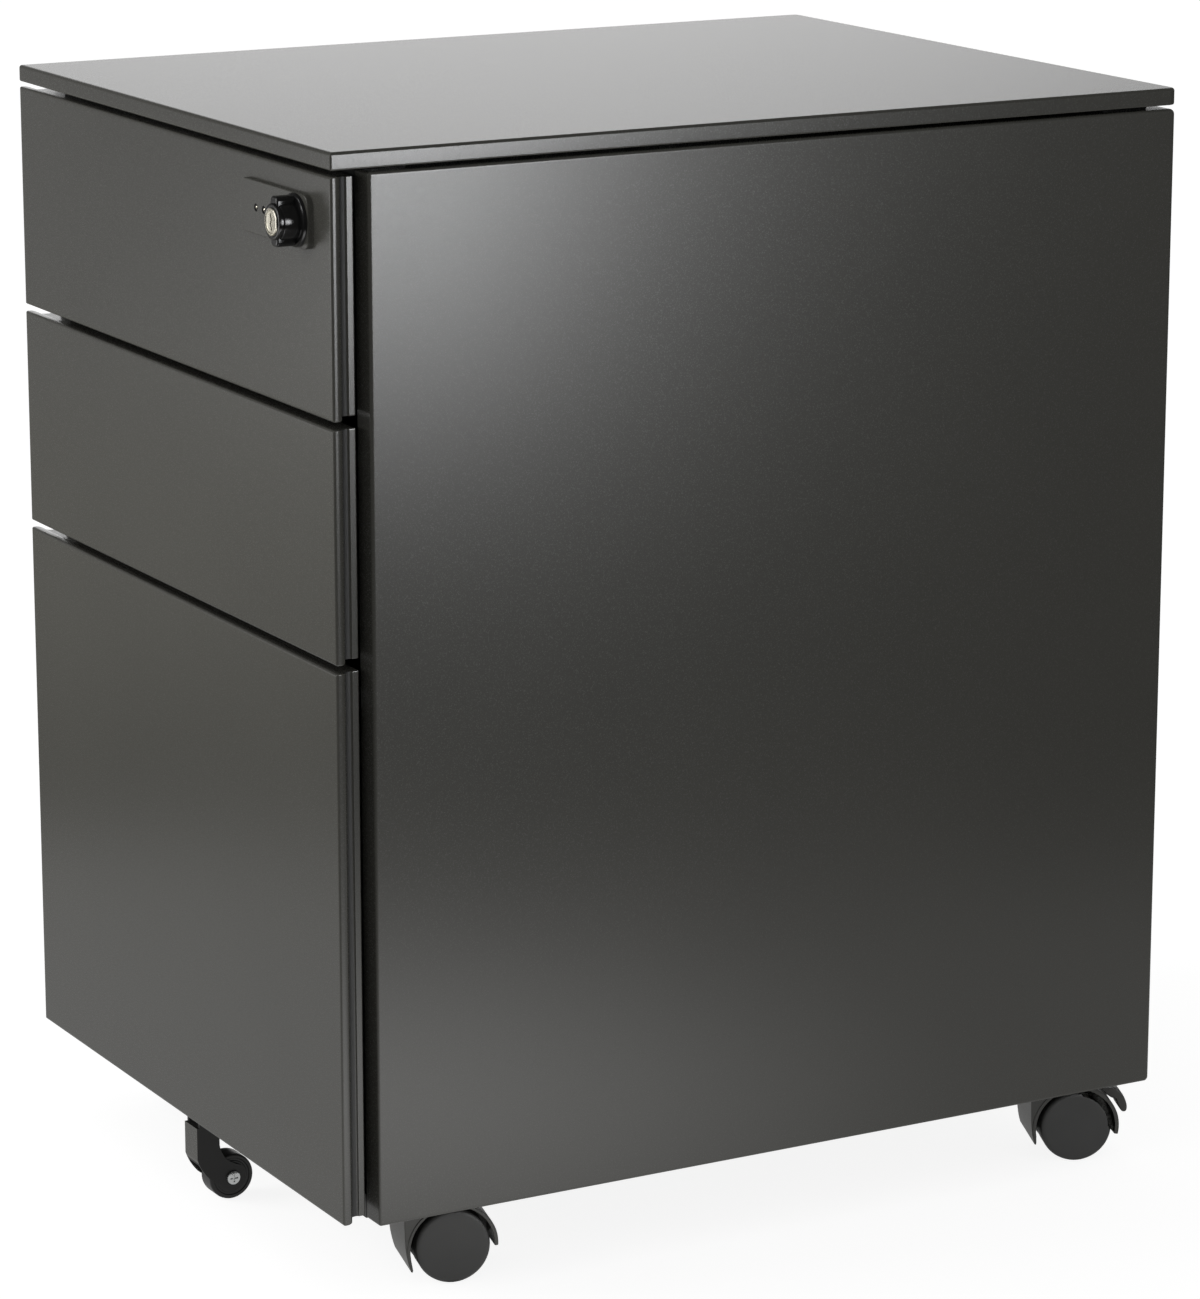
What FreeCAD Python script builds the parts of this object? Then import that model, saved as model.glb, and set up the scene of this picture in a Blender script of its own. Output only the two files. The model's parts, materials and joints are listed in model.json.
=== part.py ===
import FreeCAD, Part
import math
import os

# Rolling pedestal cabinet: a folded steel carcass with two box drawers and a file drawer on
# telescopic runners, one knob lock that drives a lock bar, and four hooded twin-wheel casters.
#
# Frame: +X to the right of a person who faces the drawers, +Y to the back, +Z up, millimetres.
# The origin is at floor level, in the middle of the overall footprint with the lock knob counted.
# Lengths called "depth" are measured back from the front face of the drawer fronts.

Vector = FreeCAD.Vector

# ---------------------------------------------------------------- overall size
WIDTH = 390.0
DEPTH = 500.0
HEIGHT = 600.0
HALF = WIDTH / 2
SHEET = 1.0                     # steel sheet of panels, fronts and trays
KNOB_PROUD = 16.6               # how far the key cylinder's face stands in front of the fronts
FRONT_Y = -(DEPTH - KNOB_PROUD) / 2

# ---------------------------------------------------------------- lid and carcass
LID_HEIGHT = 9.0
LID_SHEET = 1.2
LID_RETURN = 16.0               # width of the flange folded in under the lid
LID_REAR_RADIUS = 5.0
LID_FOLD_RADIUS = 1.5
LID_BOTTOM = HEIGHT - LID_HEIGHT
PANEL_TOP = LID_BOTTOM - 2.0
PANEL_BOTTOM = 46.0
PANEL_FRONT = 19.4              # depth of the side panels' front flange
PANEL_REAR = 498.5
PANEL_FOLD = 15.0               # how far each side panel's edges fold inwards
PANEL_RADIUS = 3.0
INNER_X = HALF - PANEL_FOLD     # the runner posts' inner faces stand here
BETWEEN_X = INNER_X - 0.5       # half-width of pieces that fit between the side panels
BACK_FOLD = 8.0
BASE_BOTTOM = 58.0              # underside of the base plate, which the casters are screwed to
RAIL_DEPTH = 28.0               # front-to-back size of the two top rails
RAIL_DROP = 16.0                # height of the top rails
POST_WIDTH = 36.0
POST_FRONTS = (46.0, 432.0)     # depths where the front and rear runner posts start

# ---------------------------------------------------------------- drawers
FRONT_GAP = 3.0                 # between the lid and the top drawer front
DRAWER_GAP = 4.0                # between one drawer front and the next
FRONT_HEIGHTS = {"top_drawer": 121.0, "middle_drawer": 119.0, "file_drawer": 290.0}
SKIN_DEPTH = 6.2                # the front skin's edges fold back this far
SKIN_RADIUS = 2.0
GROOVE_X = HALF - 7.4           # bottom of the finger groove down each side
LIP_X = HALF - 6.6              # inner lip behind the finger groove
LIP_DEPTH = 11.4
FRONT_THICKNESS = 15.5
LINER_INSET = 1.2               # the liner stands this far inside the skin's top and bottom
TRAY_X = 167.0                  # half of the tray's outer width
TRAY_REAR = 462.0
TRAY_CLEAR = 11.0               # tray floor above the lower edge of the drawer front
TRAY_HEIGHTS = {"top_drawer": 67.0, "middle_drawer": 67.0, "file_drawer": 236.0}
SCREW_R = 2.0
SCREW_HEAD_R = 4.0
SCREW_X = 120.0
FILE_RAIL_DEPTHS = (72.0, 402.0)  # 330 mm apart, for A4 suspension files
FILE_RAIL_HEIGHT = 12.0
FILE_RAIL_THICKNESS = 2.0

# ---------------------------------------------------------------- telescopic runners
RUNNER_FRONT = 42.0
RUNNER_REAR = 472.0
RUNNER_WALL = 1.2
BALL_GAP = 3.0                  # room for the balls between one member and the next
RUNNER_HEIGHTS = {"top_drawer": 35.0, "middle_drawer": 35.0, "file_drawer": 45.0}
RUNNER_ABOVE_TRAY = 30.0        # runner centre line above the tray floor

# ---------------------------------------------------------------- lock
LOCK_X = 161.5
LOCK_Z = 563.0
PLATE_X = (98.0, 175.0)
DIMPLE_X = (116.0, 125.0)
DIMPLE_R = 1.6
DIMPLE_DEPTH = 0.6
PLATE_HEIGHT = 27.0
PLATE_THICKNESS = 3.0
PLATE_RADIUS = 5.0
ROSETTE_R = 13.5
ROSETTE_THICKNESS = 2.0
BARREL_R = 9.0
BARREL_END = 21.0
NUT_ACROSS = 24.0
NUT_THICKNESS = 3.0
SPINDLE_R = 4.0
RUNNING_GAP = 0.05
KNOB_R = 9.6
WING_WIDTH = 8.0
WING_HEIGHT = 25.0
CYLINDER_R = 7.0
CRANK_DEPTH = 23.0
CRANK_THICKNESS = 2.0
CRANK_R = 8.0                   # radius of the crank pin's circle
CRANK_PIN_R = 2.5
CRANK_PIN_END = 35.0
TONGUE_LENGTH = 18.0
TONGUE_WIDTH = 9.0
SLOT_CLEAR = 0.4
BAR_X = (182.5, 190.5)
BAR_DEPTH = (29.0, 31.0)
BAR_BOTTOM = 250.0
LUG_X = 174.5                   # inner end of the lugs that hold the lower drawers
LUG_HEIGHT = 8.0
CATCH_HEIGHT = 9.0
GUIDE_LEVELS = (270.0, 500.0)

# ---------------------------------------------------------------- casters
STEM_X = 154.0
STEM_DEPTHS = {"front": 59.0, "rear": 452.5}
SWIVELS = {"front": 76.0, "rear": 68.0}     # degrees from +X to the direction from stem to wheel
TRAIL = 18.0
WHEEL_R = 20.0
WHEEL_INNER = 5.0
WHEEL_OUTER = 19.6
WHEEL_EDGE = 1.6
AXLE_R = 2.0
HOOD_HALF = 20.0
HOOD_INNER_R = 22.0
HOOD_OUTER_R = 24.5
HOOD_TOP = 31.5                 # boss top, above the wheel centre
WEB_HALF = 4.0
STEM_R = 4.0
STEM_BOTTOM = 38.5
CASTER_PLATE = 42.0
CASTER_PLATE_THICKNESS = 2.5
CASTER_HOLE = 15.5              # half the spacing of the plate's four screws
CASTER_SHANK = 5.0              # length of the plate screws' shanks
CASTER_HEAD_R = 3.6
CASTER_HEAD = 2.0
LEVER_HALF = 6.0
LEVER_PIVOT = (17.0, 16.0)      # from the wheel centre: along the trail, and up
PIVOT_PIN_R = 1.45

# ---------------------------------------------------------------- anti-tilt wheel
FIFTH_R = 12.8
FIFTH_DEPTH = 24.0
FIFTH_LEVEL = 13.1
FIFTH_HALF = 6.3
FIFTH_EDGE = 1.0
FIFTH_HEAD_R = 4.0
FIFTH_HEAD = 1.6                # thickness of the axle screw's head
FIFTH_NUT_R = 3.6
FIFTH_NUT = 2.4
BRACKET_HALF = 8.0
BRACKET_SHEET = 1.5
BRACKET_FRONT = 3.0
BRACKET_REAR = 16.4
BRACKET_PLATE_Z = (26.5, 44.4)
BRACKET_END_R = 8.0             # radius of the cheeks' lower end, round the axle
BRACKET_WAIST = (33.0, 14.5)    # heights where the cheeks' rear and front edges start to curve


# ================================================================ helpers
def block(x_low, x_high, depth_low, depth_high, z_low, z_high):
    """A box between two x values, two depths and two heights."""
    corner = Vector(x_low, FRONT_Y + depth_low, z_low)
    return Part.makeBox(x_high - x_low, depth_high - depth_low, z_high - z_low, corner)


def lying_cylinder(radius, x, z, depth_low, depth_high):
    """A round bar along Y."""
    start = Vector(x, FRONT_Y + depth_low, z)
    return Part.makeCylinder(radius, depth_high - depth_low, start, Vector(0, 1, 0))


def fused(shapes):
    """One solid from shapes that touch or overlap."""
    return shapes[0].multiFuse(shapes[1:]).removeSplitter()


def rounded(shape, radius, wanted):
    """Round the straight edges for which wanted(middle, direction) is true."""
    edges = []
    for edge in shape.Edges:
        ends = [vertex.Point for vertex in edge.Vertexes]
        if len(ends) == 2 and wanted((ends[0] + ends[1]) / 2, (ends[1] - ends[0]).normalize()):
            edges.append(edge)
    return shape.makeFillet(radius, edges)


def mirrored(shape):
    """The same piece on the other side of the cabinet."""
    return shape.mirror(Vector(0, 0, 0), Vector(1, 0, 0))


def both_sides(shape):
    """A right-hand piece and its left-hand twin."""
    return [shape, mirrored(shape)]


def outline(segments):
    """A closed wire. Each segment is two points, or three for an arc through the middle one."""
    edges = []
    for points in segments:
        if len(points) == 2:
            edges.append(Part.makeLine(*points))
        else:
            edges.append(Part.Arc(*points).toShape())
    return Part.Wire(edges)


def prism(points, push):
    """A solid with straight sides: the polygon through points, pushed along a vector."""
    wire = Part.makePolygon(list(points) + [points[0]])
    return Part.Face(wire).extrude(push)


def save(name, shapes):
    """Write one node: a single piece, or a group of separate pieces of one kind."""
    if not isinstance(shapes, list):
        shapes = [shapes]
    for shape in shapes:
        if len(shape.Solids) != 1 or not shape.isValid():
            raise ValueError(f"{name} holds a piece that is not one valid solid")
    node = shapes[0] if len(shapes) == 1 else Part.makeCompound(shapes)
    node.exportStep(f"parts/{name}.step")


# ================================================================ carcass
def top_cover():
    """The lid: a shallow pan of folded sheet, upside down, with a flange folded in below."""
    outer = block(-HALF, HALF, 0, DEPTH, LID_BOTTOM, HEIGHT)
    rear_corner = lambda middle, along: abs(along.z) > 0.9 and middle.y > 0
    outer = rounded(outer, LID_REAR_RADIUS, rear_corner)
    top_edges = [e for e in outer.Edges if abs(e.BoundBox.ZMin - HEIGHT) < 0.01]
    outer = outer.makeFillet(LID_FOLD_RADIUS, top_edges)
    skin = LID_SHEET
    hollow = block(-HALF + skin, HALF - skin, skin, DEPTH - skin, LID_BOTTOM + skin, HEIGHT - skin)
    hollow = rounded(hollow, LID_REAR_RADIUS - skin, rear_corner)
    rim = LID_RETURN
    mouth = block(-HALF + rim, HALF - rim, rim, DEPTH - rim, LID_BOTTOM, LID_BOTTOM + skin)
    return outer.cut(hollow).cut(mouth)


def side_panel():
    """The right side panel: a tall pan whose edges fold inwards."""
    outer = block(INNER_X, HALF, PANEL_FRONT, PANEL_REAR, PANEL_BOTTOM, PANEL_TOP)
    on_outside = lambda middle, along: abs(middle.x - HALF) < 0.01
    outer = rounded(outer, PANEL_RADIUS, on_outside)
    hollow = block(
        INNER_X, HALF - SHEET, PANEL_FRONT + SHEET, PANEL_REAR - SHEET,
        PANEL_BOTTOM + SHEET, PANEL_TOP - SHEET,
    )
    inside = lambda middle, along: abs(middle.x - HALF + SHEET) < 0.01
    return outer.cut(rounded(hollow, PANEL_RADIUS - SHEET, inside))


def back_panel():
    """A pan between the side panels, its edges folded forwards."""
    front = PANEL_REAR - BACK_FOLD
    outer = block(-BETWEEN_X, BETWEEN_X, front, PANEL_REAR, PANEL_BOTTOM + 1, PANEL_TOP)
    hollow = block(
        -BETWEEN_X + SHEET, BETWEEN_X - SHEET, front, PANEL_REAR - SHEET,
        PANEL_BOTTOM + 1 + SHEET, PANEL_TOP - SHEET,
    )
    return outer.cut(hollow)


def base_pan():
    """The floor of the carcass: a plate whose front and side edges fold down."""
    front = PANEL_FRONT + SHEET
    rear = PANEL_REAR - BACK_FOLD
    top = BASE_BOTTOM + SHEET
    outer = block(-BETWEEN_X, BETWEEN_X, front, rear, PANEL_BOTTOM, top)
    hollow = block(
        -BETWEEN_X + SHEET, BETWEEN_X - SHEET, front + SHEET, rear - SHEET,
        PANEL_BOTTOM, BASE_BOTTOM,
    )
    return outer.cut(hollow)


def top_rails():
    """Front and rear rails that tie the side panels together and carry the lid."""
    rails = []
    for start in (PANEL_FRONT + SHEET, PANEL_REAR - BACK_FOLD - RAIL_DEPTH):
        bottom = LID_BOTTOM - RAIL_DROP
        outer = block(-BETWEEN_X, BETWEEN_X, start, start + RAIL_DEPTH, bottom, LID_BOTTOM)
        hollow = block(
            -BETWEEN_X, BETWEEN_X, start + SHEET, start + RAIL_DEPTH - SHEET,
            bottom, LID_BOTTOM - SHEET,
        )
        rails.append(outer.cut(hollow))
    return rails


def runner_posts():
    """Four upright channels inside the side panels, which the runners are fixed to."""
    posts = []
    for start in POST_FRONTS:
        end = start + POST_WIDTH
        low = PANEL_BOTTOM + PANEL_RADIUS
        high = PANEL_TOP - PANEL_RADIUS
        outer = block(INNER_X, HALF - SHEET, start, end, low, high)
        hollow = block(INNER_X + SHEET, HALF - SHEET, start + SHEET, end - SHEET, low, high)
        posts += both_sides(outer.cut(hollow))
    return posts


# ================================================================ drawers
def drawer_list():
    """Name, front's lower and upper edge, tray and runner levels of each drawer, top first."""
    drawers = []
    top = LID_BOTTOM - FRONT_GAP
    for name, height in FRONT_HEIGHTS.items():
        bottom = top - height
        floor = bottom + TRAY_CLEAR
        drawers.append({
            "name": name,
            "top": top,
            "bottom": bottom,
            "floor": floor,
            "tray_top": floor + TRAY_HEIGHTS[name],
            "runner": floor + RUNNER_ABOVE_TRAY,
            "runner_height": RUNNER_HEIGHTS[name],
        })
        top = bottom - DRAWER_GAP
    return drawers


def drawer_front(drawer):
    """The outer skin: a pan as wide as the cabinet, its edges folded back."""
    low, high = drawer["bottom"], drawer["top"]
    outer = block(-HALF, HALF, 0, SKIN_DEPTH, low, high)
    front_edge = lambda middle, along: abs(middle.y - FRONT_Y) < 0.01
    outer = rounded(outer, SKIN_RADIUS, front_edge)
    hollow = block(-HALF + SHEET, HALF - SHEET, SHEET, SKIN_DEPTH, low + SHEET, high - SHEET)
    return outer.cut(hollow)


def liner_outline(inset, rear):
    """Half-section of the liner on the right, from the skin back to the given depth."""
    lip = LIP_X - inset
    groove = GROOVE_X - inset
    return [
        (groove + 3.2, SKIN_DEPTH),
        (groove + 1.0, SKIN_DEPTH + 2.2),
        (groove, LIP_DEPTH - 0.9),
        (lip, LIP_DEPTH),
        (lip, rear),
    ]


def drawer_liner(drawer):
    """The inner half of the front: a pan with a finger groove down each side."""
    low = drawer["bottom"] + LINER_INSET
    high = drawer["top"] - LINER_INSET

    def body(inset, rear, z_low, z_high):
        right = liner_outline(inset, rear)
        points = right + [(-x, depth) for x, depth in reversed(right)]
        points = [Vector(x, FRONT_Y + depth, z_low) for x, depth in points]
        return prism(points, Vector(0, 0, z_high - z_low))

    outer = body(0, FRONT_THICKNESS, low, high)
    hollow = body(SHEET, FRONT_THICKNESS - SHEET, low + SHEET, high - SHEET)
    return outer.cut(hollow)


def screw_places(drawer):
    """Where the four screws join the tray to the liner."""
    margin = 14.0
    for x in (-SCREW_X, SCREW_X):
        for z in (drawer["floor"] + margin, drawer["tray_top"] - margin):
            yield x, z


def screw_hole(x, z):
    """Room for one screw's shank through the liner's rear wall and the tray's front wall."""
    return lying_cylinder(SCREW_R, x, z, FRONT_THICKNESS - SHEET, FRONT_THICKNESS + SHEET)


def front_screws(drawer):
    """Pan-head screws, put in from inside the tray."""
    screws = []
    for x, z in screw_places(drawer):
        shank = lying_cylinder(SCREW_R, x, z, FRONT_THICKNESS - 3, FRONT_THICKNESS + SHEET)
        seat = FRONT_THICKNESS + SHEET
        head = lying_cylinder(SCREW_HEAD_R, x, z, seat, seat + 2.0)
        screws.append(fused([shank, head]))
    return screws


def tray(drawer):
    """The drawer's open box of folded sheet."""
    low, high = drawer["floor"], drawer["tray_top"]
    front = FRONT_THICKNESS
    outer = block(-TRAY_X, TRAY_X, front, TRAY_REAR, low, high)
    hollow = block(
        -TRAY_X + SHEET, TRAY_X - SHEET, front + SHEET, TRAY_REAR - SHEET, low + SHEET, high,
    )
    shell = outer.cut(hollow)
    for x, z in screw_places(drawer):
        shell = shell.cut(screw_hole(x, z))
    return shell


def file_rails(drawer):
    """Two bars across the file drawer that suspension files hang from."""
    high = drawer["tray_top"]
    inside = TRAY_X - SHEET
    bars = []
    for depth in FILE_RAIL_DEPTHS:
        end = depth + FILE_RAIL_THICKNESS
        bar = block(-inside, inside, depth, end, high - FILE_RAIL_HEIGHT, high)
        hook = block(inside - 8, TRAY_X + 1.4, depth, end, high, high + 1.4)
        drop = block(TRAY_X, TRAY_X + 1.4, depth, end, high - 6, high)
        bars.append(fused([bar] + both_sides(hook) + both_sides(drop)))
    return bars


# ================================================================ runners
def runner_channel(web_x, tip_x, height, level, wall):
    """A C section along the drawer: a web at web_x and two flanges that end at tip_x."""
    direction = 1 if tip_x > web_x else -1
    low, high = sorted((web_x, tip_x))
    half = height / 2
    outer = block(low, high, RUNNER_FRONT, RUNNER_REAR, level - half, level + half)
    open_low, open_high = sorted((web_x + direction * wall, tip_x))
    hollow = block(
        open_low, open_high, RUNNER_FRONT, RUNNER_REAR, level - half + wall, level + half - wall,
    )
    return outer.cut(hollow)


def fixed_runners(drawers):
    """The outer members, fixed to the posts."""
    rails = []
    for drawer in drawers:
        rail = runner_channel(
            INNER_X, INNER_X - 9.6, drawer["runner_height"], drawer["runner"], RUNNER_WALL,
        )
        rails += both_sides(rail)
    return rails


def middle_runners(drawer):
    """The middle members, which travel half as far as the drawer."""
    height = drawer["runner_height"] - 2 * (RUNNER_WALL + BALL_GAP)
    rail = runner_channel(INNER_X - 3.0, TRAY_X + 2.2, height, drawer["runner"], RUNNER_WALL)
    return both_sides(rail)


def inner_runners(drawer):
    """The inner members, fixed to the tray."""
    height = drawer["runner_height"] - 4 * (RUNNER_WALL + BALL_GAP)
    rail = runner_channel(TRAY_X, TRAY_X + 7.0, height, drawer["runner"], RUNNER_WALL)
    return both_sides(rail)


# ================================================================ lock
def lock_bore():
    """The hole that the lock's barrel needs through the plate, the skin and the liner."""
    return lying_cylinder(BARREL_R, LOCK_X, LOCK_Z, -PLATE_THICKNESS, FRONT_THICKNESS)


def lock_plate():
    """A rounded plate on the top drawer front, bored for the barrel, with two round dimples."""
    half = PLATE_HEIGHT / 2
    plate = block(*PLATE_X, -PLATE_THICKNESS, 0, LOCK_Z - half, LOCK_Z + half)
    plate = rounded(plate, PLATE_RADIUS, lambda middle, along: abs(along.y) > 0.9)
    floor = DIMPLE_DEPTH - PLATE_THICKNESS
    for x in DIMPLE_X:
        dimple = lying_cylinder(DIMPLE_R, x, LOCK_Z, -PLATE_THICKNESS, floor)
        plate = plate.cut(dimple)
    return plate.cut(lock_bore())


def lock_housing():
    """Rosette and barrel, bored for the turning cylinder's spindle."""
    front = -PLATE_THICKNESS - ROSETTE_THICKNESS
    rosette = lying_cylinder(ROSETTE_R, LOCK_X, LOCK_Z, front, -PLATE_THICKNESS)
    barrel = lying_cylinder(BARREL_R, LOCK_X, LOCK_Z, -PLATE_THICKNESS, BARREL_END)
    bore = lying_cylinder(SPINDLE_R + RUNNING_GAP, LOCK_X, LOCK_Z, front, BARREL_END)
    return fused([rosette, barrel]).cut(bore)


def lock_nut():
    """The hexagon nut that clamps the barrel behind the liner."""
    corner = NUT_ACROSS / 2 / math.cos(math.radians(30))
    points = []
    for step in range(6):
        angle = math.radians(60 * step)
        x = LOCK_X + corner * math.cos(angle)
        points.append(Vector(x, FRONT_Y + FRONT_THICKNESS, LOCK_Z + corner * math.sin(angle)))
    nut = prism(points, Vector(0, NUT_THICKNESS, 0))
    end = FRONT_THICKNESS + NUT_THICKNESS
    return nut.cut(lying_cylinder(BARREL_R, LOCK_X, LOCK_Z, FRONT_THICKNESS, end))


def lock_knob():
    """The hand knob: a round body with a wing above and a wing below."""
    rear = -PLATE_THICKNESS - ROSETTE_THICKNESS - 0.2
    front = 0.6 - KNOB_PROUD
    body = lying_cylinder(KNOB_R, LOCK_X, LOCK_Z, front, rear)
    half = WING_WIDTH / 2
    tall = WING_HEIGHT / 2
    wings = block(LOCK_X - half, LOCK_X + half, front, rear, LOCK_Z - tall, LOCK_Z + tall)
    wings = rounded(wings, 2.5, lambda middle, along: abs(along.y) > 0.9)
    socket = lying_cylinder(CYLINDER_R, LOCK_X, LOCK_Z, front, rear)
    return fused([body, wings]).cut(socket)


def key_cylinder():
    """The key plug in the knob, with its keyway and the spindle that carries the crank."""
    rear = -PLATE_THICKNESS - ROSETTE_THICKNESS - 0.2
    plug = lying_cylinder(CYLINDER_R, LOCK_X, LOCK_Z, -KNOB_PROUD, rear)
    spindle = lying_cylinder(SPINDLE_R, LOCK_X, LOCK_Z, rear, CRANK_DEPTH + CRANK_THICKNESS)
    keyway = block(
        LOCK_X - 0.6, LOCK_X + 0.6, -KNOB_PROUD, 6 - KNOB_PROUD, LOCK_Z - 4.5, LOCK_Z + 4.5,
    )
    return fused([plug, spindle]).cut(keyway)


def crank_pin_place():
    """The crank pin's x and z at rest, 45 degrees above the spindle towards the lock bar."""
    reach = CRANK_R * math.sin(math.radians(45))
    return LOCK_X + reach, LOCK_Z + reach


def lock_crank():
    """The plate on the spindle: a pin that moves the bar and a tongue that holds the drawer."""
    rear = CRANK_DEPTH + CRANK_THICKNESS
    pin_x, pin_z = crank_pin_place()
    hub = lying_cylinder(7.0, LOCK_X, LOCK_Z, CRANK_DEPTH, rear)
    pad = lying_cylinder(3.6, pin_x, pin_z, CRANK_DEPTH, rear)
    pin = lying_cylinder(CRANK_PIN_R, pin_x, pin_z, rear, CRANK_PIN_END)
    half = TONGUE_WIDTH / 2
    tongue = block(
        LOCK_X - TONGUE_LENGTH, LOCK_X, CRANK_DEPTH, rear, LOCK_Z - half, LOCK_Z + half,
    )
    hole = lying_cylinder(SPINDLE_R, LOCK_X, LOCK_Z, CRANK_DEPTH, rear)
    return fused([hub, pad, tongue, pin]).cut(hole)


def catch_level(drawer):
    """Lower edge of the hook that the lock bar holds this drawer by."""
    return drawer["top"] - 24.0


def lock_bar(drawers):
    """The upright bar: a slotted lug for the crank pin, and one lug for each lower drawer."""
    pin_x, pin_z = crank_pin_place()
    head_top = pin_z + 7.5
    pieces = [
        block(*BAR_X, *BAR_DEPTH, BAR_BOTTOM, head_top),
        block(LOCK_X - 0.5, BAR_X[0], *BAR_DEPTH, pin_z - 7.5, head_top),
    ]
    for drawer in drawers[1:]:
        level = catch_level(drawer) + CATCH_HEIGHT + 2.0
        pieces.append(block(LUG_X, BAR_X[0], *BAR_DEPTH, level, level + LUG_HEIGHT))
    half = CRANK_PIN_R + SLOT_CLEAR
    slot_low = LOCK_X + CRANK_R * math.sin(math.radians(45)) - CRANK_PIN_R - 0.6
    slot_high = LOCK_X + CRANK_R + CRANK_PIN_R + 0.6
    slot = block(slot_low, slot_high, *BAR_DEPTH, pin_z - half, pin_z + half)
    return fused(pieces).cut(slot)


def lock_bar_guides():
    """Two blocks on the right side panel that the lock bar slides in."""
    guides = []
    gap = 0.1
    for level in GUIDE_LEVELS:
        guide = block(181.0, HALF - SHEET, 26.5, 33.5, level - 6, level + 6)
        slot = block(
            BAR_X[0] - gap, BAR_X[1] + gap, BAR_DEPTH[0] - gap, BAR_DEPTH[1] + gap,
            level - 6, level + 6,
        )
        guides.append(guide.cut(slot))
    return guides


def drawer_catch(drawer):
    """A bracket on the liner, with a hook that the lock bar's lug drops in front of."""
    low = catch_level(drawer)
    high = low + CATCH_HEIGHT
    foot = block(169.0, 179.0, FRONT_THICKNESS, FRONT_THICKNESS + 1.5, low, high)
    arm = block(171.0, 173.0, FRONT_THICKNESS, 38.0, low, high)
    hook = block(171.0, 179.0, 36.0, 38.0, low, high)
    return fused([foot, arm, hook])


# ================================================================ casters
def along_caster(shape, side, end):
    """Turn a piece built at the origin to the swivel angle and set it at its stem."""
    placed = shape.copy()
    placed.rotate(Vector(0, 0, 0), Vector(0, 0, 1), SWIVELS[end])
    x = STEM_X if side == "right" else -STEM_X
    placed.translate(Vector(x, FRONT_Y + STEM_DEPTHS[end], 0))
    return placed


def caster_point(along, up, across=0.0):
    """A point in a caster's own frame, from the wheel centre. The stem is on the Z axis."""
    return Vector(TRAIL + along, across, WHEEL_R + up)


def on_circle(radius, degrees, across=0.0):
    """A point on a circle about the wheel centre."""
    angle = math.radians(degrees)
    return caster_point(radius * math.cos(angle), radius * math.sin(angle), across)


def across_cylinder(radius, along, up, low, high):
    """A round bar parallel to the axle, between two places across the caster."""
    start = caster_point(along, up, low)
    return Part.makeCylinder(radius, high - low, start, Vector(0, 1, 0))


def hood_shell():
    """The fender over both wheels, thick on the stem's side, where it ends in a point."""
    low = -HOOD_HALF
    rim_end = on_circle(HOOD_OUTER_R, -8, low)
    crest = on_circle(HOOD_OUTER_R, 95, low)
    boss = caster_point(-8, HOOD_TOP, low)
    shoulder = caster_point(-25, HOOD_TOP, low)
    side = caster_point(-26, 10, low)
    tip = caster_point(-22.2, -11.6, low)
    inner_tip = on_circle(HOOD_INNER_R, 200, low)
    inner_end = on_circle(HOOD_INNER_R, -8, low)
    profile = outline([
        (rim_end, on_circle(HOOD_OUTER_R, 45, low), crest),
        (crest, boss),
        (boss, shoulder),
        (shoulder, caster_point(-26, 24, low), side),
        (side, caster_point(-25.2, -1.0, low), tip),
        (tip, inner_tip),
        (inner_tip, on_circle(HOOD_INNER_R, 96, low), inner_end),
        (inner_end, rim_end),
    ])
    return Part.Face(profile).extrude(Vector(0, 2 * HOOD_HALF, 0))


def caster_hood(braked):
    """Hood with the web between the wheels, the stem's bore and the axle's bore."""
    web = Part.makeBox(18, 2 * WEB_HALF, 23, caster_point(-9, 0, -WEB_HALF))
    hub = across_cylinder(9.0, 0, 0, -WEB_HALF, WEB_HALF)
    pieces = [hood_shell(), web, hub]
    ears = []
    if braked:
        for low in (-9.0, LEVER_HALF + 0.4):
            ears.append(across_cylinder(2.8, *LEVER_PIVOT, low, low + 2.6))
    hood = fused(pieces + ears)
    bore_length = HOOD_TOP - 17.5
    bore_start = caster_point(-TRAIL, 17.5)
    hood = hood.cut(Part.makeCylinder(STEM_R + RUNNING_GAP, bore_length, bore_start))
    hood = hood.cut(across_cylinder(AXLE_R, 0, 0, -WEB_HALF, WEB_HALF))
    if braked:
        pocket = prism(
            [
                caster_point(12.0, 24.0, -LEVER_HALF - 0.4),
                caster_point(12.0, 17.0, -LEVER_HALF - 0.4),
                caster_point(18.0, 8.0, -LEVER_HALF - 0.4),
                caster_point(27.0, 3.5, -LEVER_HALF - 0.4),
                caster_point(30.0, 18.0, -LEVER_HALF - 0.4),
            ],
            Vector(0, 2 * LEVER_HALF + 0.8, 0),
        )
        hood = hood.cut(pocket)
        hood = hood.cut(across_cylinder(PIVOT_PIN_R + RUNNING_GAP, *LEVER_PIVOT, -9.0, 9.0))
    return hood


def caster_axle():
    """The steel pin pressed through the hood's web."""
    return across_cylinder(AXLE_R, 0, 0, -16.5, 16.5)


def caster_wheel(sign):
    """One wheel of a pair: a disc with rounded edges and a blind bore for the axle."""
    low, high = sorted((sign * WHEEL_INNER, sign * WHEEL_OUTER))
    wheel = across_cylinder(WHEEL_R, 0, 0, low, high)
    rims = [e for e in wheel.Edges if len(e.Vertexes) == 1]
    wheel = wheel.makeFillet(WHEEL_EDGE, rims)
    bore_low, bore_high = sorted((sign * WHEEL_INNER, sign * 17.0))
    return wheel.cut(across_cylinder(AXLE_R + RUNNING_GAP, 0, 0, bore_low, bore_high))


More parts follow.
